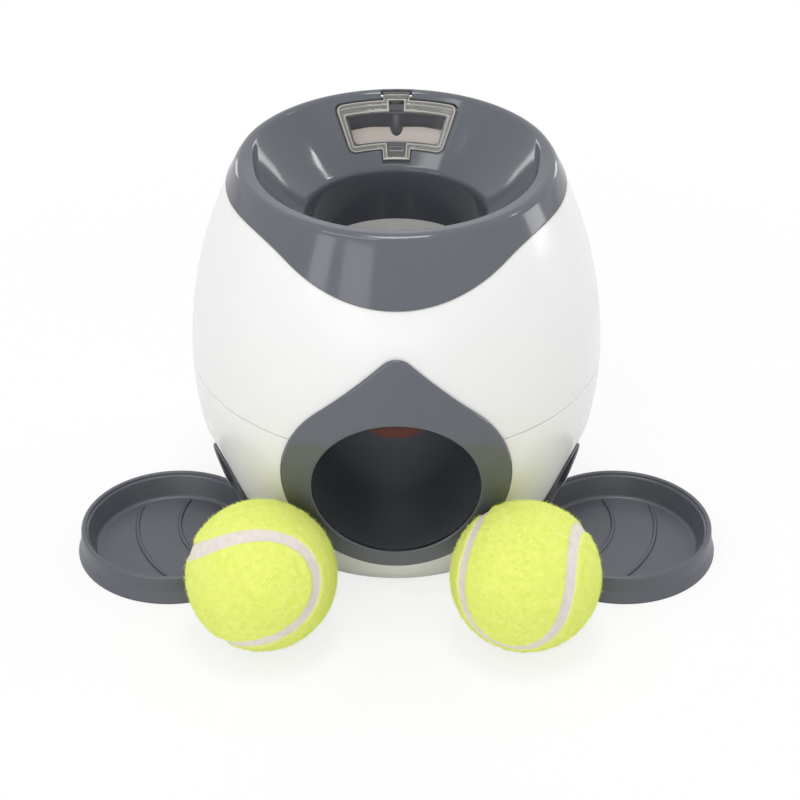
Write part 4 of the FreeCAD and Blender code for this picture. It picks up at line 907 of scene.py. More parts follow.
@dataclass
class Bowl:
    """The funnel's side view as one line: up the throat, over the cone, round the crest and down the skirt."""

    barrel: Barrel = field(default_factory=Barrel)
    proud: float = 0.6
    crest_height: float = 179.4
    crest_round: float = 3.0
    throat_radius: float = 38.8
    throat_round: float = 5.0
    throat_bottom: float = 126.2
    skirt_low: float = 147.0
    edge_radius: float = 61.3
    edge_height: float = 176.2
    edge_round: float = 1.0
    wall_slope: float = 68.0
    wall_sweep: float = 9.0
    top_rise: float = 1.1
    bend_round: float = 4.0
    blend_before: float = 4.0
    blend_after: float = 3.0
    plain_angle: float = 64.0
    rimmed_angle: float = 98.0
    hollow: float = 1.0
    hollow_from: float = 31.0
    hollow_full: float = 46.0
    foot_lead: float = 0.2
    lip_steps: int = 14

    def __post_init__(self) -> None:
        """Works the line out in spans of about 0.1 mm, with its length, its normals and its parts' starts."""
        b, half = self.barrel, math.pi / 4
        crest_radius = float(b.radius(np.array(self.crest_height), self.proud))
        self.corner = self.crest_height - (crest_radius - self.throat_radius)
        lift = self.corner - self.throat_radius
        centre_r, offset = b.belly_radius - b.upper_bulge, lift - self.crest_round * math.sqrt(2)
        bulge = b.upper_bulge + self.proud - self.crest_round
        k = offset - b.belly_height
        root = math.sqrt((k - centre_r) ** 2 - 2 * (centre_r**2 + k**2 - bulge**2))
        cr = (-(k - centre_r) + root) / 2
        cz = cr + offset
        lean = math.atan2(cz - b.belly_height, cr - centre_r)
        tr = self.throat_radius + self.throat_round
        tz = tr + lift - self.throat_round * math.sqrt(2)
        arc = lambda c0, c1, radius, a0, a1, n: np.stack(
            [c0 + radius * np.cos(np.linspace(a0, a1, n)), c1 + radius * np.sin(np.linspace(a0, a1, n))], -1
        )
        throat = np.stack([np.full(200, self.throat_radius), np.linspace(self.throat_bottom, tz, 200)], -1)
        lip = arc(tr, tz, self.throat_round, math.pi, math.pi - half, 60)
        start = lip[-1]
        end = np.array([cr - self.crest_round * math.cos(half), cz + self.crest_round * math.sin(half)])
        cone = start + (end - start) * np.linspace(0, 1, 300)[:, None]
        crest = arc(cr, cz, self.crest_round, math.pi - half, lean, 100)
        heights = np.linspace(crest[-1, 1], self.skirt_low, 260)
        skirt = np.stack([b.radius(heights, self.proud), heights], -1)
        self.line = np.concatenate([throat, lip[1:], cone[1:], crest[1:], skirt[1:]])
        steps = np.linalg.norm(np.diff(self.line, axis=0), axis=1)
        self.length = np.concatenate([[0], np.cumsum(steps)])
        ends = np.cumsum([len(throat) - 1, len(lip) - 1, len(cone) - 1, len(crest) - 1])
        self.lip_start, self.cone_start, self.cone_end, self.skirt_start = (float(self.length[i]) for i in ends)
        slope = np.gradient(self.line, self.length, axis=0)
        slope /= np.linalg.norm(slope, axis=1, keepdims=True)
        self.normal = np.stack([-slope[:, 1], slope[:, 0]], -1)
        self.rimmed = self.rimmed_line(lift)

    def rimmed_line(self, lift: float) -> Array:
        """The line at the front and sides: a sweep into a steeper wall, a crisp inner edge and a broad crest.

        The wall's foot is where a line of its slope through the inner edge meets the cone. Both runs between
        the ends of the change are spread over the plain line's own lengths.

        Args:
            lift: the cone's height less its radius.

        Returns:
            The line's points, one for each point of the plain line.
        """
        first, last = self.cone_end - self.blend_before, self.skirt_start + self.blend_after
        place = lambda along: np.array([float(np.interp(along, self.length, self.line[:, i])) for i in (0, 1)])
        run = 1 / math.tan(math.radians(self.wall_slope))
        foot = (self.edge_radius - run * (self.edge_height - lift)) / (1 - run)
        outer_height = self.edge_height + self.top_rise
        outer = float(self.barrel.radius(np.array(outer_height), self.proud))
        start, end = place(self.cone_start), place(last)
        outline = rounded(
            [
                (*start, 0),
                (foot, foot + lift, self.wall_sweep),
                (self.edge_radius, self.edge_height, self.edge_round),
                (outer, outer_height, self.bend_round),
                (*end, 0),
            ],
            self.lip_steps,
            closed=False,
        )
        far = np.concatenate([[0], np.cumsum(np.linalg.norm(np.diff(outline, axis=0), axis=1))])
        share = np.interp(self.length, [self.cone_start, first, last], [0, far[1] - self.foot_lead, far[-1]])
        moved = np.stack([np.interp(share, far, outline[:, i]) for i in (0, 1)], -1)
        changed = (self.length > self.cone_start) & (self.length < last)
        return np.where(changed[:, None], moved, self.line)

    def skin(self, angle: Array, length: Array) -> Array:
        """The outer skin: the plain line behind and the rimmed one in front, mixed by an S-curve of the angle.

        Away from the lid the cone is hollowed a little: by a half wave of sine along its length.

        Args:
            angle: each point's angle from +Y, in radians.
            length: each point's length along the bowl's line.

        Returns:
            The points, of shape (rows, columns, 3).
        """
        away = np.abs(np.degrees((angle + math.pi) % (2 * math.pi) - math.pi))
        curve = lambda low, high: eased(np.clip((away - low) / (high - low), 0, 1))
        share = curve(self.plain_angle, self.rimmed_angle)
        along = np.clip((length - self.cone_start) / (self.cone_end - self.cone_start), 0, 1)
        sunk = self.hollow * curve(self.hollow_from, self.hollow_full) * np.sin(math.pi * along)
        r, z = (
            np.interp(length, self.length, self.line[:, i]) * (1 - share)
            + np.interp(length, self.length, self.rimmed[:, i]) * share
            - sunk * np.interp(length, self.length, self.normal[:, i])
            for i in (0, 1)
        )
        return np.stack([r * np.sin(angle), r * np.cos(angle), z], -1)

    def at_radius(self, radius: float) -> float:
        """How far along the line a radius on the cone or the crest lies."""
        part = (self.length >= self.cone_start - 1e-6) & (self.length <= self.skirt_start)
        return float(np.interp(radius, self.line[part, 0], self.length[part]))

    def at_skirt_height(self, height: Array) -> Array:
        """How far along the line a height on the skirt lies."""
        part = self.length >= self.skirt_start
        return np.interp(-height, -self.line[part, 1], self.length[part])

    def round_corners(
        self, angle: Array, length: Array, limit: float, ends: tuple[float, float], radius: float, reach: float
    ) -> None:
        """Draws a grid round the four corners of a field on the cone, in mm along and across the cone.

        Args:
            angle: each point's angle from +Y in radians, changed in place.
            length: each point's length along the line, changed in place.
            limit: the angle of the field's sides.
            ends: where the field starts and ends along the line.
            radius: the corners' radius.
            reach: how far past the corner the lines are still drawn in.
        """
        for end, inward in zip(ends, (1, -1)):
            girth = float(np.interp(end, self.length, self.line[:, 0]))
            for side in (1, -1):
                u, v = angle * girth, length.copy()
                bend_corner(u, v, (side * math.radians(limit) * girth, end), (-side, inward), radius, reach)
                angle[:], length[:] = u / girth, v

    def point(self, angle: Array, length: Array, depth: Array | float) -> Array:
        """A point of the bowl turned to an angle from +Y, at a depth square to its skin.

        Args:
            angle: each point's angle from +Y, in radians.
            length: each point's length along the bowl's line.
            depth: how far below the skin it lies.

        Returns:
            The points, of shape (rows, columns, 3).
        """
        r, z = (np.interp(length, self.length, self.line[:, i]) for i in (0, 1))
        nr, nz = (np.interp(length, self.length, self.normal[:, i]) for i in (0, 1))
        r, z = r - depth * nr, z - depth * nz
        return np.stack([r * np.sin(angle), r * np.cos(angle), z + 0 * angle], -1)


@dataclass
class Hopper:
    """The dark funnel with its lid seat, window, latch notch and hinge slot."""

    bowl: Bowl = field(default_factory=Bowl)
    edge: Wave = field(default_factory=Wave)
    wall: float = 3.0
    skirt_wall: float = 2.2
    seat_low: float = 45.4
    seat_high: float = 62.4
    seat_angle: float = 27.1
    seat_depth: float = 2.0
    seat_round: float = 3.4
    window_low: float = 48.8
    window_high: float = 59.0
    window_angle: float = 21.5
    window_round: float = 2.2
    notch_low: float = 40.8
    notch_angle: float = 8.6
    hinge_angle: float = 6.1
    hinge_far: float = 66.8
    fine_angle: float = 32.0
    angle_steps: tuple[float, float] = (2.0, 0.8)
    length_steps: tuple[float, ...] = (3.0, 0.55, 0.9, 0.27)
    skirt_steps: int = 20
    divider_half_width: float = 2.9
    divider_nose: float = 60.2
    divider_head: float = 62.6
    divider_knee: float = 161.0
    divider_low: float = 153.0
    divider_top: float = 173.5
    divider_back: float = 69.0
    collar_low: float = 47.4
    collar_radius: float = 60.0
    collar_angle: float = 22.6
    collar_wall: float = 1.2
    collar_lap: float = 0.4
    slide_low: float = 47.6
    slide_high: float = 61.4
    slide_depth: float = 7.0
    slide_wall: float = 1.0
    slide_swell: float = 0.7
    slot_low: float = 61.2
    lug_spans: tuple[tuple[float, float], ...] = ((6.3, 12.3), (-12.3, -6.3))
    lug_back: tuple[float, float] = (61.2, 66.6)
    lug_heights: tuple[float, float] = (172.7, 173.6)
    lug_round: float = 0.8

    def __post_init__(self) -> None:
        """Works out where the notch, the seat, the window and the hinge slot lie along the bowl's line."""
        places = (self.notch_low, self.seat_low, self.window_low, self.window_high, self.seat_high)
        self.marks = [self.bowl.at_radius(place) for place in places]
        self.slot = self.bowl.at_radius(self.slot_low), self.bowl.at_radius(self.hinge_far)

    def grid(self) -> tuple[Array, Array]:
        """The angle and the length along the bowl's line of each point, with fine steps where the lid lies.

        Returns:
            Both, of shape (rows, columns).
        """
        bowl = self.bowl
        limits = [self.hinge_angle, self.notch_angle, self.window_angle, self.seat_angle, self.fine_angle]
        turns = [-x for x in limits[::-1]] + limits
        coarse, fine = self.angle_steps
        runs = ([-180, turns[0]], coarse), (turns, fine), ([turns[-1], 180], coarse)
        angles = np.radians(np.concatenate([ruled(stops, step)[:-1] for stops, step in runs]))
        crest, below = bowl.cone_end - bowl.blend_before, bowl.skirt_start + bowl.blend_after
        parts = (
            [0, bowl.lip_start],
            [bowl.lip_start, bowl.cone_start],
            [bowl.cone_start, *self.marks[:4], crest],
            [crest, self.marks[4], bowl.cone_end, self.slot[1], below],
        )
        runs = [ruled(stops, step)[:-1] for stops, step in zip(parts, self.length_steps)]
        low = bowl.at_skirt_height(self.edge.height_at(np.sin(angles), bowl.barrel, bowl.proud))
        skirt = below + (low[:, None] - below) * np.linspace(0, 1, self.skirt_steps)
        upper = np.repeat(np.concatenate(runs)[None], len(angles), 0)
        length = np.concatenate([upper, skirt], 1)
        return np.repeat(angles[:, None], length.shape[1], 1), length

    def cells(self, angle: Array, length: Array) -> Array:
        """The level of each cell: 0 on the bowl, 1 on the lid's seat and the latch's notch, 2 where it is open.

        Args:
            angle: each point's angle from +Y, in radians.
            length: each point's length along the bowl's line.

        Returns:
            The levels, one column fewer than the points.
        """
        mean = lambda grid: (grid[:, :-1] + grid[:, 1:]) / 2
        middle = mean(length)
        turn = np.degrees(np.abs(mean((angle + np.roll(angle, -1, 0)) / 2)))
        turn[-1] = 180
        within = lambda limit, start, end: (turn < limit) & (middle > start) & (middle < end)
        notch, seat, window, window_end, seat_end = self.marks
        top = np.zeros(middle.shape, int)
        top[within(self.seat_angle, seat, seat_end)] = 1
        top[within(self.notch_angle, notch, seat + 0.1)] = 1
        top[within(self.window_angle, window, window_end)] = 2
        top[within(self.hinge_angle, *self.slot)] = 2
        return top

    def build(self, palette: Palette) -> Object:
        """The funnel as terraces of a grid of angle by length along the bowl's line.

        Args:
            palette: every finish by its name.

        Returns:
            The piece.
        """
        bowl, marks = self.bowl, self.marks
        angle, length = self.grid()
        top = self.cells(angle, length)
        bowl.round_corners(angle, length, self.seat_angle, (marks[1], marks[4]), self.seat_round, 1.2)
        bowl.round_corners(angle, length, self.window_angle, (marks[2], marks[3]), self.window_round, 1.0)
        depths = self.seat_depth, self.under(length)
        levels = np.stack([bowl.skin(angle, length), *[bowl.point(angle, length, depth) for depth in depths]])
        levels[2, :, 0, 2] = bowl.throat_bottom
        solids = [outward(terraces(levels, top, around=True)), self.divider(), *self.hinge_lugs()]
        return make_piece(
            "hopper_skin", [*solids, *self.collar()], "housing", palette["dark_plastic"],
            ["hopper"], Softening(0.4, 3),
        )

    def under(self, length: Array) -> Array:
        """The wall below the skin: the bowl's wall, thinning to the skirt's round the crest."""
        return np.interp(length, [self.bowl.cone_end, self.bowl.skirt_start], [self.wall, self.skirt_wall])

    def divider(self) -> Solid:
        """The rib that parts the treat window: a plank with a half-round nose that hangs from the bowl.

        Returns:
            The points and faces of the solid.
        """
        w, back = self.divider_half_width, self.divider_back
        turn = np.linspace(0, math.pi, 17)
        nose = lambda place: np.stack([w * np.cos(turn), place - w * np.sin(turn)], -1)
        section = lambda place: np.concatenate([nose(place), [[-w, back], [w, back]]])
        foot, head = section(self.divider_nose), section(self.divider_head)
        tapered = foot * 0.9 + 0.1 * foot.mean(0)
        ceiling = self.lift + np.hypot(head[:, 0], head[:, 1]) - self.wall * math.sqrt(2)
        rows = [
            (tapered, self.divider_low),
            (foot, self.divider_low + 0.5),
            (foot, self.divider_knee),
            (head, np.minimum(ceiling, self.divider_top)),
        ]
        sections = [np.column_stack([flat, np.full(len(flat), height)]) for flat, height in rows]
        return capped(np.stack(sections))

    @property
    def lift(self) -> float:
        """The cone's height less its radius."""
        return self.bowl.corner - self.bowl.throat_radius

    def collar(self) -> list[Solid]:
        """The walls from the window down to the treat slide: an upright arc behind and a flat at each side.

        Returns:
            The three walls.
        """
        high, low = self.wall - self.collar_lap, self.slide_depth + self.collar_lap
        lower = lambda radius, depth: self.lift + radius - depth * math.sqrt(2)
        between = lambda radius, share: lower(radius, high) * (1 - share) + lower(radius, low) * share
        thin = lambda skin: outward(terraces(np.stack(skin), np.zeros((len(skin[0]) - 1, 1), int)))
        turns = np.radians(ruled([-self.collar_angle, self.collar_angle], 1.5))
        angle, share = np.meshgrid(turns, [0.0, 1.0], indexing="ij")
        arc = lambda r: np.stack([r * np.sin(angle), r * np.cos(angle), between(r, share)], -1)
        walls = [thin([arc(self.collar_radius), arc(self.collar_radius + self.collar_wall)])]
        runs = np.linspace(self.collar_low, self.collar_radius + 1.0, 12)
        radius, drop = np.meshgrid(runs, [0.0, 1.0], indexing="ij")
        flat = lambda side, turn: np.stack(
            [side * radius * math.sin(turn), radius * math.cos(turn), between(radius, drop)], -1
        )
        turns = [math.radians(self.collar_angle + more) for more in (0, self.collar_wall)]
        return walls + [thin([flat(side, turn) for turn in turns]) for side in (1, -1)]

    def slide(self, palette: Palette) -> Object:
        """The cream slide under the window: a strip along the cone that ends short of the front.

        Args:
            palette: every finish by its name.

        Returns:
            The piece.
        """
        bowl = self.bowl
        turns = np.radians(ruled([-self.collar_angle - 1, self.collar_angle + 1], 1.5))
        runs = ruled([bowl.at_radius(self.slide_low), bowl.at_radius(self.slide_high)], 1.0)
        angle, length = np.meshgrid(turns, runs, indexing="ij")
        wave = np.cos(np.clip(angle / np.radians(self.collar_angle), -1, 1) * math.pi) ** 2
        depth = self.slide_depth + self.slide_swell * wave
        levels = np.stack([bowl.point(angle, length, depth + more) for more in (0.0, self.slide_wall)])
        solid = outward(terraces(levels, np.zeros((len(turns) - 1, len(runs) - 1), int)))
        return make_piece(
            "treat_slide", [solid], "housing", palette["cream_plastic"], (), Softening(0.2, 2)
        )

    def hinge_lugs(self) -> list[Solid]:
        """The two lugs under the bowl that carry the hinge pin, each a block with rounded corners.

        Returns:
            The two lugs.
        """
        near, far = self.lug_back
        out = []
        for low, high in self.lug_spans:
            corners = (low, near), (high, near), (high, far), (low, far)
            outline = rounded([(x, y, self.lug_round) for x, y in corners], 4)
            ends = [np.column_stack([outline, np.full(len(outline), z)]) for z in self.lug_heights]
            out.append(capped(np.stack(ends)))
        return out


@dataclass
class TreatLid:
    """The smoky lid: a pane with a raised frame, a latch tab with a slot, and a hinge knuckle."""

    bowl: Bowl = field(default_factory=Bowl)
    angle: float = 26.0
    low: float = 45.8
    high: float = 62.0
    thickness: float = 1.8
    side_frame: float = 2.3
    low_frame: float = 2.7
    high_frame: float = 5.2
    tab_frame: float = 1.0
    bead: float = 0.3
    pane_drop: float = 0.8
    corner: float = 3.0
    latch_low: float = 42.3
    latch_angle: float = 7.8
    slot_angle: float = 3.4
    slot_low: float = 45.5
    slot_high: float = 46.6
    tab_angle: float = 5.4
    tab_high: float = 63.9
    knuckle: float = 2.2
    knuckle_half_width: float = 6.2
    hinge_distance: float = 64.2
    hinge_height: float = 174.88
    step: float = 0.55
    girth: float = 54.0
    pane_corner: float = 1.2
    corner_reach: float = 0.8
    ridge_back: float = 2.3
    ridge_half_width: float = 0.3
    knuckle_bore: float = 0.95

    def __post_init__(self) -> None:
        """Works out where the parts lie along the bowl's line, and the angle of the frame's inner edge."""
        at = self.bowl.at_radius
        self.frame_angle = self.angle - math.degrees(self.side_frame / self.girth)
        self.start, self.end, self.tip = at(self.low), at(self.high), at(self.latch_low)
        self.slot = at(self.slot_low), at(self.slot_high)
        self.inner_start, self.inner_end = self.start + self.low_frame, self.end - self.high_frame
        self.inner_tip = self.tip + self.tab_frame

    def grid(self) -> tuple[Array, Array]:
        """The angle and the length along the bowl's line of each point of the lid's grid.

        Returns:
            Both, of shape (rows, columns).
        """
        stops = [self.slot_angle, self.tab_angle, self.latch_angle, self.frame_angle, self.angle]
        angles = np.radians(ruled([-x for x in stops[::-1]] + stops, self.step))
        below, above = self.slot
        marks = [self.tip, self.inner_tip, below, self.start, above, self.inner_start, self.inner_end, self.end]
        lengths = ruled([*marks, self.bowl.at_radius(self.tab_high)], self.step)
        angle, length = np.meshgrid(angles, lengths, indexing="ij")
        return angle.copy(), length.copy()

    def cells(self, angle: Array, length: Array) -> Array:
        """The level of each cell: 0 on the frame, 1 on the pane, 2 outside the lid and in the latch's slot.

        Args:
            angle: each point's angle from +Y, in radians.
            length: each point's length along the bowl's line.

        Returns:
            The levels, one row and one column fewer than the points.
        """
        turn = np.degrees(np.abs(angle[:-1, :-1] + angle[1:, 1:]) / 2)
        middle = (length[:-1, :-1] + length[1:, 1:]) / 2
        within = lambda limit, start, end: (turn < limit) & (middle > start) & (middle < end)
        top = np.full(turn.shape, 2)
        top[within(NEVER, self.start, self.end)] = 0
        top[within(self.latch_angle, self.tip, self.start)] = 0
        top[within(self.tab_angle, self.end, NEVER)] = 0
        top[within(self.frame_angle, self.inner_start, self.inner_end)] = 1
        top[within(self.slot_angle, self.inner_end, self.end)] = 1
        top[within(self.tab_angle, self.inner_tip, self.inner_start)] = 1
        top[within(self.slot_angle, *self.slot)] = 2
        return top

    def build(self, palette: Palette) -> Object:
        """The lid as terraces of a grid of angle by length along the bowl's line, with the knuckle behind.

        Args:
            palette: every finish by its name.

        Returns:
            The piece.
        """
        bowl, reach = self.bowl, self.corner_reach
        angle, length = self.grid()
        top = self.cells(angle, length)
        bowl.round_corners(angle, length, self.angle, (self.start, self.end), self.corner, reach)
        inner = self.inner_start, self.inner_end
        bowl.round_corners(angle, length, self.frame_angle, inner, self.pane_corner, reach)
        edge = around_cells(top, blank=2)
        line = edge.max(0) != edge.min(0)
        framed, on_pane = around_cells(top == 0).any(0), around_cells(top == 1).any(0)
        near_line = line[:-1, :-1] | line[1:, :-1] | line[:-1, 1:] | line[1:, 1:]
        wide = line | (around_cells(near_line).any(0) & framed & ~on_pane)
        ridge = (np.abs(length - (self.end - self.ridge_back)) < self.ridge_half_width) & framed & ~on_pane
        raised = lambda on_line, on_wide, on_ridge, plain: np.where(
            line, on_line, np.where(wide, on_wide, np.where(ridge, on_ridge, plain))
        )
        bead = self.bead * raised(1.0, 0.55, 0.6, 0.0)
        depths = -bead, self.pane_drop, self.thickness
        levels = np.stack([bowl.point(angle, length, depth) for depth in depths])
        latch = (length < self.start + 0.3) & (length > self.inner_tip + 0.2)
        # cover_and_highlight: how dense and how pale each point is. The pale lines on the outline, beside it
        # and on the ridge are painted highlights; the frame and the latch tab are denser and paler than the
        # pane.
        cover_and_highlight = raised(0.95, 0.6, 0.7, np.where(on_pane, np.where(latch, 0.62, 0.0), 0.5))
        lower = np.where(line, 0.8, cover_and_highlight * 0.6), np.full(line.shape, 0.05)
        knuckle = self.knuckle_solid()
        covers = cover_and_highlight, *lower, np.full(len(knuckle[0]), 0.4)
        return make_piece(
            "treat_lid_pane", [outward(terraces(levels, top)), knuckle], "lid",
            palette["smoky_clear"], ["treat_lid"], Softening(0.22, 2),
            attributes={"edge": np.concatenate([values.ravel() for values in covers])},
        )

    def knuckle_solid(self) -> Solid:
        """The knuckle: a round bar about the hinge axis with rounded ends, bored for the pin.

        Returns:
            The points and faces of the solid.
        """
        w, r, bore = self.knuckle_half_width, self.knuckle, self.knuckle_bore
        outline = rounded([(bore, -w, 0.15), (r, -w, 0.5), (r, w, 0.5), (bore, w, 0.15)], 3)
        points, faces = turned(outline, 40)
        placed = points[:, [2, 0, 1]] + [0, self.hinge_distance, self.hinge_height]
        return outward((placed, faces))


# ---------------------------------------------------------------- front mask and bezels


@dataclass
class Mask:
    """The dark drop-shaped trim with the round ball outlet."""

    barrel: Barrel = field(default_factory=Barrel)
    radius: float = 49.6
    height: float = 65.6
    flank: float = 42.0
    apex_round: float = 8.5
    proud: float = 1.8
    hole_radius: float = 36.0
    hole_height: float = 63.7
    hole_round: float = 1.6
    back_gap: float = 0.05
    spokes: int = 300
    lip_steps: int = 8
    face_steps: int = 12

    def outline(self, directions: Array) -> Array:
        """How far the drop's edge lies from the hole's centre in each direction, read off its line.

        Args:
            directions: angles at the hole's centre, in radians from +X.

        Returns:
            The distances.
        """
        flank = math.radians(self.flank)
        apex = self.height + (self.radius - self.apex_round) / math.cos(flank)
        big = np.linspace(math.pi / 2 - flank, -3 * math.pi / 2 + flank, 500)
        small = np.linspace(math.pi / 2 + flank, math.pi / 2 - flank, 80)
        main = np.stack([self.radius * np.cos(big), self.height + self.radius * np.sin(big)], -1)
        tip = np.stack([self.apex_round * np.cos(small), apex + self.apex_round * np.sin(small)], -1)
        flank_run = lambda start, end: start + (end - start) * np.linspace(0, 1, 60)[:, None]
        line = np.concatenate([main, flank_run(main[-1], tip[0]), tip, flank_run(tip[-1], main[0])])
        turn = np.arctan2(line[:, 1] - self.hole_height, line[:, 0])
        far = np.hypot(line[:, 0], line[:, 1] - self.hole_height)
        return np.interp(directions, turn, far, period=2 * math.pi)

    def build(self, palette: Palette) -> Object:
        """The trim as a ring of cells between the hole and the drop's edge, laid on the barrel.

        Args:
            palette: every finish by its name.

        Returns:
            The piece.
        """
        directions = np.linspace(-math.pi, math.pi, self.spokes, endpoint=False)
        turn = np.linspace(0, math.pi / 2, self.lip_steps)
        lip = self.hole_radius + self.hole_round * (1 - np.cos(turn))
        share = np.linspace(0, 1, self.face_steps)[1:]
        rim = self.outline(directions)[:, None]
        far = np.concatenate([np.repeat(lip[None], len(directions), 0), lip[-1] + (rim - lip[-1]) * share], 1)
        sunk = np.concatenate([self.hole_round * (1 - np.sin(turn)), np.zeros(len(share))])
        across = far * np.cos(directions[:, None])
        height = self.hole_height + far * np.sin(directions[:, None])
        front = lambda offset: -np.sqrt(self.barrel.radius(height, offset) ** 2 - across**2)
        skins = front(self.proud) + sunk, front(self.back_gap)
        levels = np.stack([np.stack([across, y, height], -1) for y in skins])
        top = np.zeros((len(directions), far.shape[1] - 1), int)
        return make_piece(
            "front_mask_skin", [outward(terraces(levels, top, around=True))], "housing",
            palette["dark_plastic"], ["front_mask"], Softening(1.1, 5),
        )


@dataclass
class Bezel:
    """The dark arch plate that fills a flat, with the treat outlet and the slot for the tray's hook."""

    facet: Facet
    thickness: float = 3.0
    top_thickness: float = 0.6
    crown_from: float = 16.0
    half_width: float = 21.0
    low: float = 5.5
    straight: float = 22.6
    outlet_half_width: float = 12.2
    outlet_low: float = 20.0
    outlet_high: float = 41.0
    slot_half_width: float = 6.6
    slot_low: float = 8.8
    slot_high: float = 11.6
    slot_depth: float = 2.4
    row_step: float = 1.2
    turn_step: float = 0.07
    crown_power: float = 1.3

    def build(self, palette: Palette) -> Object:
        """The plate as terraces: lines run up the slope, squeezed together under the arch.

        Each line between the pivot and the apex keeps its share of the way to the arch above it. The pivot
        is the outlet's top across the outlet's width, and the outlet's foot beside it.

        Args:
            palette: every finish by its name.

        Returns:
            The piece.
        """
        facet, near = self.facet, self.facet.distance
        far = near + self.thickness
        foot, shoulder = facet.slope_place(self.low), facet.slope_place(self.low) + self.straight
        outlet = facet.slope_place(self.outlet_low), facet.slope_place(self.outlet_high)
        slot = facet.slope_place(self.slot_low, far), facet.slope_place(self.slot_high, far)
        apex = shoulder + self.half_width
        rows = ruled([foot, *slot, *outlet, apex], self.row_step)
        halves = [self.slot_half_width, self.outlet_half_width, self.half_width]
        turn = np.arcsin(np.array([-x for x in halves[::-1]] + halves) / self.half_width)
        columns = self.half_width * np.sin(ruled(list(turn), self.turn_step))
        across = np.repeat(columns[:, None], len(rows), 1)
        limit = shoulder + np.sqrt(np.maximum(self.half_width**2 - across**2, 0))
        pivot = np.where(np.abs(across) < self.outlet_half_width + 0.01, outlet[1], outlet[0])
        up = np.where(rows < pivot, rows, pivot + (rows - pivot) * (limit - pivot) / (apex - pivot))
        aside = np.abs(across[:-1, :-1] + across[1:, :-1]) / 2
        middle = np.repeat((rows[:-1] + rows[1:])[None] / 2, len(columns) - 1, 0)
        within = lambda width, start, end: (aside < width) & (middle > start) & (middle < end)
        top = np.zeros(aside.shape, int)
        top[within(self.outlet_half_width, *outlet)] = 2
        top[within(self.slot_half_width, *slot)] = 1
        out, side, slope = facet.axes()
        place = lambda distance: distance * out + across[..., None] * side + up[..., None] * slope
        crown_foot = facet.slope_place(self.crown_from)
        crown = np.clip((up - crown_foot) / (apex - crown_foot), 0, 1) ** self.crown_power
        face = far - (self.thickness - self.top_thickness) * crown[..., None]
        levels = np.stack([place(face), place(far - self.slot_depth), place(near)])
        word = facet.side.word
        return make_piece(
            f"side_bezel_{word}_plate", [outward(terraces(levels, top))], "housing",
            palette["dark_satin"], [f"side_bezel_{word}"], Softening(0.28, 3, 50.0),
        )


# ---------------------------------------------------------------- trays


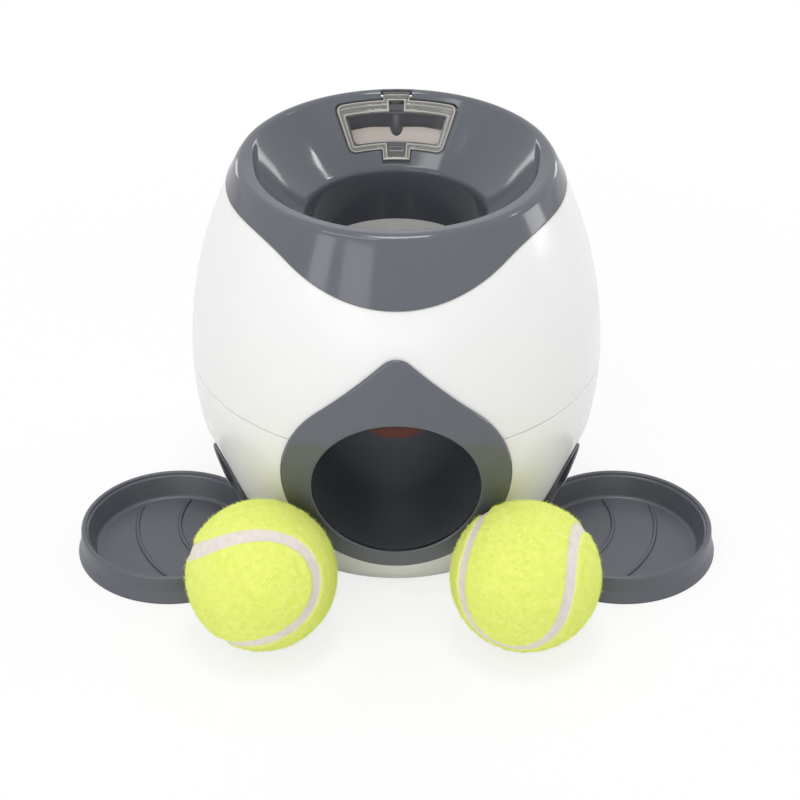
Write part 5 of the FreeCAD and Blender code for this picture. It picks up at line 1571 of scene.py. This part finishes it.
@dataclass
class Tray:
    """A round dish with a flared wall, a stepped lip and curved ribs, cut flat where it meets the bezel."""

    facet: Facet
    reach: float = 108.0
    foot_radius: float = 43.6
    rim_radius: float = 41.7
    height: float = 13.0
    wall: float = 2.2
    lip: float = 0.9
    draft: float = 3.2
    floor: float = 1.8
    gap: float = 3.06
    rib_centre: float = 62.5
    ribs: tuple[float, ...] = (22.0, 41.35, 60.7)
    rib_width: float = 2.0
    rib_height: float = 1.0
    rib_room: float = 2.4
    flare: float = 0.4
    flare_round: float = 6.0
    foot_height: float = 0.9
    hook_half_width: float = 6.0
    hook_under: float = 9.4
    hook_middle: float = 10.2
    hook_top: float = 11.0
    hook_back: float = 2.6
    hook_front: float = 2.3
    hook_foot: float = 0.6
    hook_foot_far: float = 3.2
    crisp_angle: float = 50.0

    def dish(self) -> Solid:
        """The dish's side view, with rounded corners, carried round the dish's own axis.

        Returns:
            The points and faces of the solid.
        """
        inside, axis = self.rim_radius - self.wall, 1e-4
        outline = rounded(
            [
                (axis, self.floor, 0),
                (inside - self.lip - self.draft, self.floor, 2.2),
                (inside - self.lip, self.height - 2 * self.lip, 0.3),
                (inside, self.height - self.lip * 1.2, 0.3),
                (inside, self.height, 0.7),
                (self.rim_radius, self.height, 1.0),
                (self.rim_radius + self.flare, self.height * 0.45, self.flare_round),
                (self.foot_radius, self.foot_height, 0.5),
                (self.foot_radius, 0, 0.45),
                (axis, 0, 0),
            ],
            6,
        )
        return turned(outline, 200)

    def rib(self, radius: float) -> Solid:
        """A curved ridge on the floor: an arc about the bezel with a half-round section.

        Args:
            radius: the arc's radius.

        Returns:
            The points and faces of the solid.
        """
        room = self.rim_radius - self.wall - self.lip - self.draft - self.rib_room
        apart = self.reach - self.rib_centre
        limit = math.acos(float(np.clip((radius**2 + apart**2 - room**2) / (2 * radius * apart), -1, 1)))
        turn = np.linspace(-limit, limit, 90)[:, None]
        around = np.linspace(0, 2 * math.pi, 16, endpoint=False)[None]
        wide = self.rib_width / 2 * np.cos(around)
        high = self.floor - 0.1 + np.maximum(np.sin(around), -0.4) * (self.rib_height + 0.1)
        far = radius + wide
        out = self.rib_centre + far * np.cos(turn) - self.reach
        return capped(np.stack([out, far * np.sin(turn), high + 0 * turn], -1))

    def hook(self) -> Solid:
        """The hook that drops into the bezel: an upright tab with a bar that points at the barrel.

        Returns:
            The points and faces of the solid.
        """
        lean = math.radians(self.facet.tilt)
        plane = lambda height: (
            (self.facet.distance + self.gap + math.sin(lean) * height) / math.cos(lean) - self.reach
        )
        face, foot = plane(self.hook_middle), plane(self.hook_foot)
        outline = rounded(
            [
                (face - self.hook_back, self.hook_under, 0.4),
                (face - self.hook_back, self.hook_top, 0.4),
                (face + self.hook_front, self.hook_top, 0.6),
                (foot + self.hook_foot_far, self.hook_foot, 0.2),
                (foot + self.hook_foot, self.hook_foot, 0.2),
                (face - 0.2, self.hook_under, 0.3),
            ],
            3,
        )
        sides = -self.hook_half_width, self.hook_half_width
        rows = [np.stack([outline[:, 0], np.full(len(outline), y), outline[:, 1]], -1) for y in sides]
        return capped(np.stack(rows))

    def build(self, palette: Palette) -> Object:
        """The dish cut by the bezel's plane, with its ribs and hook, turned to its side.

        Args:
            palette: every finish by its name.

        Returns:
            The hook's piece; the dish is a piece of its own.
        """
        out, side, _ = self.facet.axes()
        level = np.array([math.cos(self.facet.azimuth), math.sin(self.facet.azimuth), 0.0])
        turn = np.stack([level, side, [0, 0, 1]])
        placed = lambda solid: outward(((solid[0] + [self.reach, 0, 0]) @ turn, solid[1]))
        name, finish = f"tray_{self.facet.side.word}", palette["tray_plastic"]
        solids = [placed(self.dish()), *[placed(self.rib(radius)) for radius in self.ribs]]
        plane = (self.facet.distance + self.gap) * out, -out
        tray = make_piece(f"{name}_dish", solids, name, finish, [name], cut=plane)
        tray.data.set_sharp_from_angle(angle=math.radians(self.crisp_angle))
        hook = [placed(self.hook())]
        return make_piece(f"{name}_hook", hook, name, finish, [name], Softening(0.3, 2))


# ---------------------------------------------------------------- balls


@dataclass
class Ball:
    """A felt ball with its curved seam sunk between the two felt panels."""

    side: Side
    centre: tuple[float, float, float]
    turn: tuple[float, float, float]
    radius: float = 32.5
    seam_half_width: float = 2.75
    seam_swell: float = 1.3
    swell_towards: tuple[float, float, float] = (-1.0, -0.2, 0.3)
    seam_depth: float = 0.6
    seam_share: float = 0.27
    seam_blend: float = 0.7
    nap_depth: float = 0.35
    nap_height: float = 0.14
    lip_height: float = 0.15
    lip_away: float = 1.6
    lip_width: float = 1.2
    nap_waves: int = 24
    nap_wave_range: tuple[float, float] = (22, 60)
    nap_seed: int = 7
    fibre_seed: int = 31
    fibres: int = 12000
    fibre_root: float = 0.45
    fibre_width: float = 0.06
    fibre_lengths: tuple[float, float] = (0.6, 1.8)
    fibre_rise: tuple[float, float] = (0.15, 1.25)

    def seam_line(self) -> Array:
        """Unit points of the seam: two circles' sum that rises and falls twice round the ball.

        Returns:
            The points, of shape (500, 3).
        """
        t, b = np.linspace(0, 2 * math.pi, 500, endpoint=False), self.seam_share
        a = 1 - b
        x, y = a * np.cos(t) + b * np.cos(3 * t), a * np.sin(t) - b * np.sin(3 * t)
        line = np.stack([x, y, 2 * math.sqrt(a * b) * np.sin(2 * t)], -1)
        return line @ self.rotation().T

    def rotation(self) -> Array:
        """The ball's own turn, from three angles about X, Y and Z in degrees.

        Returns:
            The turn as a matrix.
        """
        x, y, z = np.radians(self.turn)
        about_x = lambda c, s: np.array([[1, 0, 0], [0, c, -s], [0, s, c]])
        about = lambda axis, a: np.roll(about_x(math.cos(a), math.sin(a)), (axis, axis), (0, 1))
        return about(2, z) @ about(1, y) @ about(0, x)

    def seam_distance(self, directions: Array) -> Array:
        """How far along the skin each direction lies from the seam, in mm, less where the seam is wider.

        Args:
            directions: unit directions from the ball's centre, of shape (n, 3).

        Returns:
            The distances.
        """
        line = self.seam_line()
        nearest = np.concatenate([(part @ line.T).max(1) for part in np.array_split(directions, 40)])
        towards = np.array(self.swell_towards) / np.linalg.norm(self.swell_towards)
        wider = self.seam_swell * np.clip(directions @ towards, 0, 1) ** 2
        return np.arccos(np.clip(nearest, -1, 1)) * self.radius - wider

    def build(self, palette: Palette) -> Object:
        """The felt skin, with clumps of nap, and short fibres that lie over it.

        Args:
            palette: every finish by its name.

        Returns:
            The felt skin's piece.
        """
        turns, falls = np.linspace(0, 2 * math.pi, 400, endpoint=False), np.linspace(0, math.pi, 201)
        around, down = np.meshgrid(turns, falls, indexing="ij")
        unit = np.stack([np.sin(down) * np.cos(around), np.sin(down) * np.sin(around), np.cos(down)], -1)
        far = self.seam_distance(unit.reshape(-1, 3)).reshape(unit.shape[:2])
        sunk = eased(np.clip((self.seam_half_width + self.seam_blend / 2 - far) / self.seam_blend, 0, 1))
        past = (far - self.seam_half_width - self.lip_away) / self.lip_width
        swell = np.exp(-(past**2)) * self.lip_height
        nap = self.clumps(unit) * (1 - sunk) * self.nap_height
        radius = self.radius - self.nap_depth - self.seam_depth * sunk + swell + nap
        points, faces = lattice(radius[..., None] * unit + np.array(self.centre), close_rows=True)
        word = self.side.word
        skin = make_piece(
            f"ball_felt_{word}_nap", [outward((points, faces))], f"ball_{word}",
            palette["yellow_felt"], [f"ball_felt_{word}"], attributes={"seam": sunk.ravel()},
        )
        self.build_fibres(palette)
        return skin

    def clumps(self, unit: Array) -> Array:
        """Uneven nap: a sum of waves in fixed random directions, from about 3 to 9 mm long.

        Args:
            unit: unit directions from the ball's centre.

        Returns:
            One number for each direction, about -2 to 2.
        """
        rng = np.random.default_rng(self.nap_seed + self.side.value)
        total = np.zeros(unit.shape[:-1])
        for _ in range(self.nap_waves):
            wave, phase = rng.normal(size=3), rng.uniform(0, 2 * math.pi)
            wave *= rng.uniform(*self.nap_wave_range) / np.linalg.norm(wave)
            total += np.sin(unit @ wave + phase)
        return total / math.sqrt(self.nap_waves)

    def build_fibres(self, palette: Palette) -> None:
        """Short fibres: thin three-sided blades that lean over the felt, none on the seam.

        Args:
            palette: every finish by its name.
        """
        rng = np.random.default_rng(self.fibre_seed + self.side.value)
        root = rng.normal(size=(self.fibres, 3))
        root /= np.linalg.norm(root, axis=1, keepdims=True)
        root = root[self.seam_distance(root) > self.seam_half_width + 0.3]
        lean = rng.normal(size=root.shape)
        lean -= (lean * root).sum(1, keepdims=True) * root
        lean /= np.linalg.norm(lean, axis=1, keepdims=True)
        side = np.cross(root, lean)
        long = rng.uniform(*self.fibre_lengths, (len(root), 1))
        low, more = self.fibre_rise
        rise = low + more * rng.uniform(0, 1, (len(root), 1)) ** 3
        skin, wide = self.radius - self.nap_depth, self.fibre_width
        base = root * (self.radius - self.fibre_root)
        middle = root * (skin + 0.6 * rise) + lean * long * 0.5
        tip = root * (skin + rise) + lean * long
        corners = lambda centre, w: (
            centre + side * w,
            centre - side * w * 0.5 + root * w * 0.8,
            centre - side * w * 0.5 - root * w * 0.8,
        )
        rings = (base, wide), (middle, wide * 0.8), (tip, wide * 0.2)
        blades = np.stack([np.stack(corners(*ring), 1) for ring in rings], 1)
        pairs = [(i + ring, j + ring) for ring in (0, 3) for i, j in ((0, 1), (1, 2), (2, 0))]
        blade = [*[[i, j, j + 3, i + 3] for i, j in pairs], [0, 2, 1], [6, 7, 8]]
        faces = [[corner + 9 * number for corner in face] for number in range(len(root)) for face in blade]
        mesh = bpy.data.meshes.new(f"ball_felt_{self.side.word}_fibres")
        mesh.from_pydata(((blades.reshape(-1, 3) + np.array(self.centre)) * MM).tolist(), [], faces)
        item = bpy.data.objects.new(mesh.name, mesh)
        bpy.context.scene.collection.objects.link(item)
        mesh.materials.append(palette["yellow_felt"])
        mesh.attributes.new("seam", "FLOAT", "POINT")
        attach(item, f"ball_{self.side.word}")
        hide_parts(f"ball_felt_{self.side.word}")
        LOG.info("%s: %d fibres", mesh.name, len(root))


# ---------------------------------------------------------------- carried-over nodes and stage


def dress_nodes(palette: Palette) -> None:
    """Gives every CAD node that still shows its finish, by its name.

    Args:
        palette: every finish by its name.
    """
    slots = {
        "white_inner": ("drop_tube",),
        "dark_satin": ("ball_chute", "base_plate"),
        "cream_plastic": ("treat_bin",),
        "orange_plastic": ("trigger_flap",),
        "grip_rubber": ("grip_ring",),
        "ball_rubber": ("ball_core_left", "ball_core_right"),
    }
    owner = {node: slot for slot, names in slots.items() for node in names}
    steel = ("screws", "pin", "shaft_clips", "trigger_shaft")
    for name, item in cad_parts.items():
        slot = owner.get(name) or ("steel" if name.endswith(steel) else "white_inner")
        if not item.material_slots:
            item.data.materials.append(palette[slot])
        for part in item.material_slots:
            part.link = "OBJECT"
            part.material = palette[slot]
        LOG.info("%s keeps its CAD shape in %s", name, slot)


@dataclass
class Studio:
    """The floor, the soft lamps and the camera."""

    lens: float = 108.0
    eye: tuple[float, float, float] = (1.6, -918.2, 651.9)
    look_down: float = 33.1
    room_glow: float = 0.62
    aim_height: float = 0.09
    floor_reach: float = 3.0
    plain_share: tuple[float, float] = (0.78, 1.0)
    plain_from: tuple[float, float] = (0.14, 0.4)
    lamps: tuple[tuple[str, float, float, float, float, float, float], ...] = (
        ("key", -42, 58, 1.7, 0.9, 0.22, 4.2),
        ("window_left", -47, 17, 1.7, 0.34, 0.6, 2.2),
        ("window_right", -24, 17, 1.7, 0.52, 0.6, 1.6),
        ("front", -8, 2.4, 1.7, 2.0, 0.2, 1.7),
        ("side", 100, 8, 1.7, 0.45, 0.4, 3.8),
        ("back_right", 144, 10, 1.7, 0.36, 0.42, 3.0),
        ("back_left", -145, 10, 1.7, 0.36, 0.42, 3.0),
        ("ceiling", 10, 84, 1.9, 0.7, 0.7, 8.0),
        ("spot", 107, 45, 1.5, 0.18, 0.07, 16.0),
    )

    def build(self) -> None:
        """Makes the camera, the floor, the white room and the soft lamps."""
        scene = bpy.context.scene
        camera = bpy.data.cameras.new("camera")
        camera.lens, camera.sensor_width = self.lens, 36.0
        camera.clip_start, camera.clip_end = 0.01, 20.0
        eye = bpy.data.objects.new("camera", camera)
        eye.location = [x * MM for x in self.eye]
        eye.rotation_euler = (math.radians(90 - self.look_down), 0, 0)
        scene.collection.objects.link(eye)
        scene.camera = eye
        scene.view_settings.view_transform = "Standard"
        self.floor()
        self.world()
        for name, azimuth, height, distance, width, tall, glow in self.lamps:
            self.lamp(name, math.radians(azimuth), math.radians(height), distance, (width, tall), glow)

    def lamp(
        self, name: str, azimuth: float, height: float, distance: float, size: tuple[float, float], glow: float
    ) -> None:
        """A soft rectangular lamp that faces the object.

        Its power is its glow times pi times its area, so that it looks equally bright from anywhere.

        Args:
            name: its name.
            azimuth: its direction from the front, towards +X, in radians.
            height: its angle above the floor, in radians.
            distance: how far off it stands, in metres.
            size: its width and height, in metres.
            glow: how bright its face looks, where 1 is white.
        """
        data = bpy.data.lights.new(name, "AREA")
        data.shape, data.size, data.size_y = "RECTANGLE", size[0], size[1]
        data.energy = glow * math.pi * size[0] * size[1]
        item = bpy.data.objects.new(name, data)
        aim = Vector((0, 0, self.aim_height))
        level = math.cos(height)
        way = Vector((math.sin(azimuth) * level, -math.cos(azimuth) * level, math.sin(height)))
        item.location = aim + way * distance
        item.rotation_euler = (-way).to_track_quat("-Z", "Y").to_euler()
        bpy.context.scene.collection.objects.link(item)

    def floor(self) -> None:
        """A wide pale floor that keeps a soft shadow: part lit, part plain white to the camera."""
        reach = self.floor_reach
        corners = [(x * reach, y * reach, 0) for x, y in ((-1, -1), (1, -1), (1, 1), (-1, 1))]
        mesh = bpy.data.meshes.new("floor")
        mesh.from_pydata(corners, [], [(0, 1, 2, 3)])
        item = bpy.data.objects.new("floor", mesh)
        bpy.context.scene.collection.objects.link(item)
        n = Nodes("floor")
        nodes, link = n.tree.nodes, n.link
        dull, pale = (0.9, 0.9, 0.9, 1), (0.92, 0.92, 0.92, 1)
        n.link(n.mixed(n.spread(n.noise(6), 0, 1), dull, pale), n.surface.inputs["Base Color"])
        n.set(Roughness=0.7, Specular_IOR_Level=0.2)
        kinds = "Emission", "MixShader", "LightPath", "VectorMath", "Math"
        glow, mix, path, away, factor = (nodes.new(f"ShaderNode{kind}") for kind in kinds)
        away.operation, factor.operation = "LENGTH", "MULTIPLY"
        link(n.place, away.inputs[0])
        link(n.spread(away.outputs["Value"], *self.plain_share, *self.plain_from), factor.inputs[1])
        link(path.outputs["Is Camera Ray"], factor.inputs[0])
        link(factor.outputs[0], mix.inputs[0])
        link(n.surface.outputs[0], mix.inputs[1])
        link(glow.outputs[0], mix.inputs[2])
        link(mix.outputs[0], nodes["Material Output"].inputs["Surface"])
        glow.inputs["Strength"].default_value = 1.0
        mesh.materials.append(n.material)

    def world(self) -> None:
        """White to the camera, to gloss and through glass; a plain grey light elsewhere."""
        world = bpy.data.worlds.new("room")
        bpy.context.scene.world = world
        world.use_nodes = True
        tree = world.node_tree
        shader = tree.nodes["Background"]
        kinds = "LightPath", "Math", "Math", "Mix"
        path, add, both, mix = (tree.nodes.new(f"ShaderNode{kind}") for kind in kinds)
        add.operation = both.operation = "MAXIMUM"
        mix.data_type = "FLOAT"
        mix.inputs[2].default_value, mix.inputs[3].default_value = self.room_glow, 1.0
        tree.links.new(path.outputs["Is Camera Ray"], add.inputs[0])
        tree.links.new(path.outputs["Is Transmission Ray"], add.inputs[1])
        tree.links.new(add.outputs[0], both.inputs[0])
        tree.links.new(path.outputs["Is Glossy Ray"], both.inputs[1])
        tree.links.new(both.outputs[0], mix.inputs[0])
        tree.links.new(mix.outputs[0], shader.inputs["Strength"])
        shader.inputs["Color"].default_value = (1, 1, 1, 1)


def main() -> None:
    """Builds every piece in order."""
    logging.basicConfig(level=logging.INFO, format="%(message)s")
    palette = Palette()
    Studio().build()
    shells, edge = Shells(), Wave()
    shells.lower(palette)
    shells.upper(palette, edge)
    hopper = Hopper()
    hopper.build(palette)
    hopper.slide(palette)
    TreatLid().build(palette)
    Mask().build(palette)
    for facet in shells.facets:
        Bezel(facet).build(palette)
        Tray(facet).build(palette)
    left = Ball(Side.LEFT, (-57.3, -104.2, 32.5), (47.6, 63.6, 57.2), seam_share=0.192)
    right = Ball(Side.RIGHT, (55.0, -104.9, 32.5), (-10.8, -11.1, -60.0), seam_share=0.182, seam_swell=0.0)
    left.build(palette)
    right.build(palette)
    dress_nodes(palette)
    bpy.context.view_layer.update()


if __name__ == "__main__":
    main()
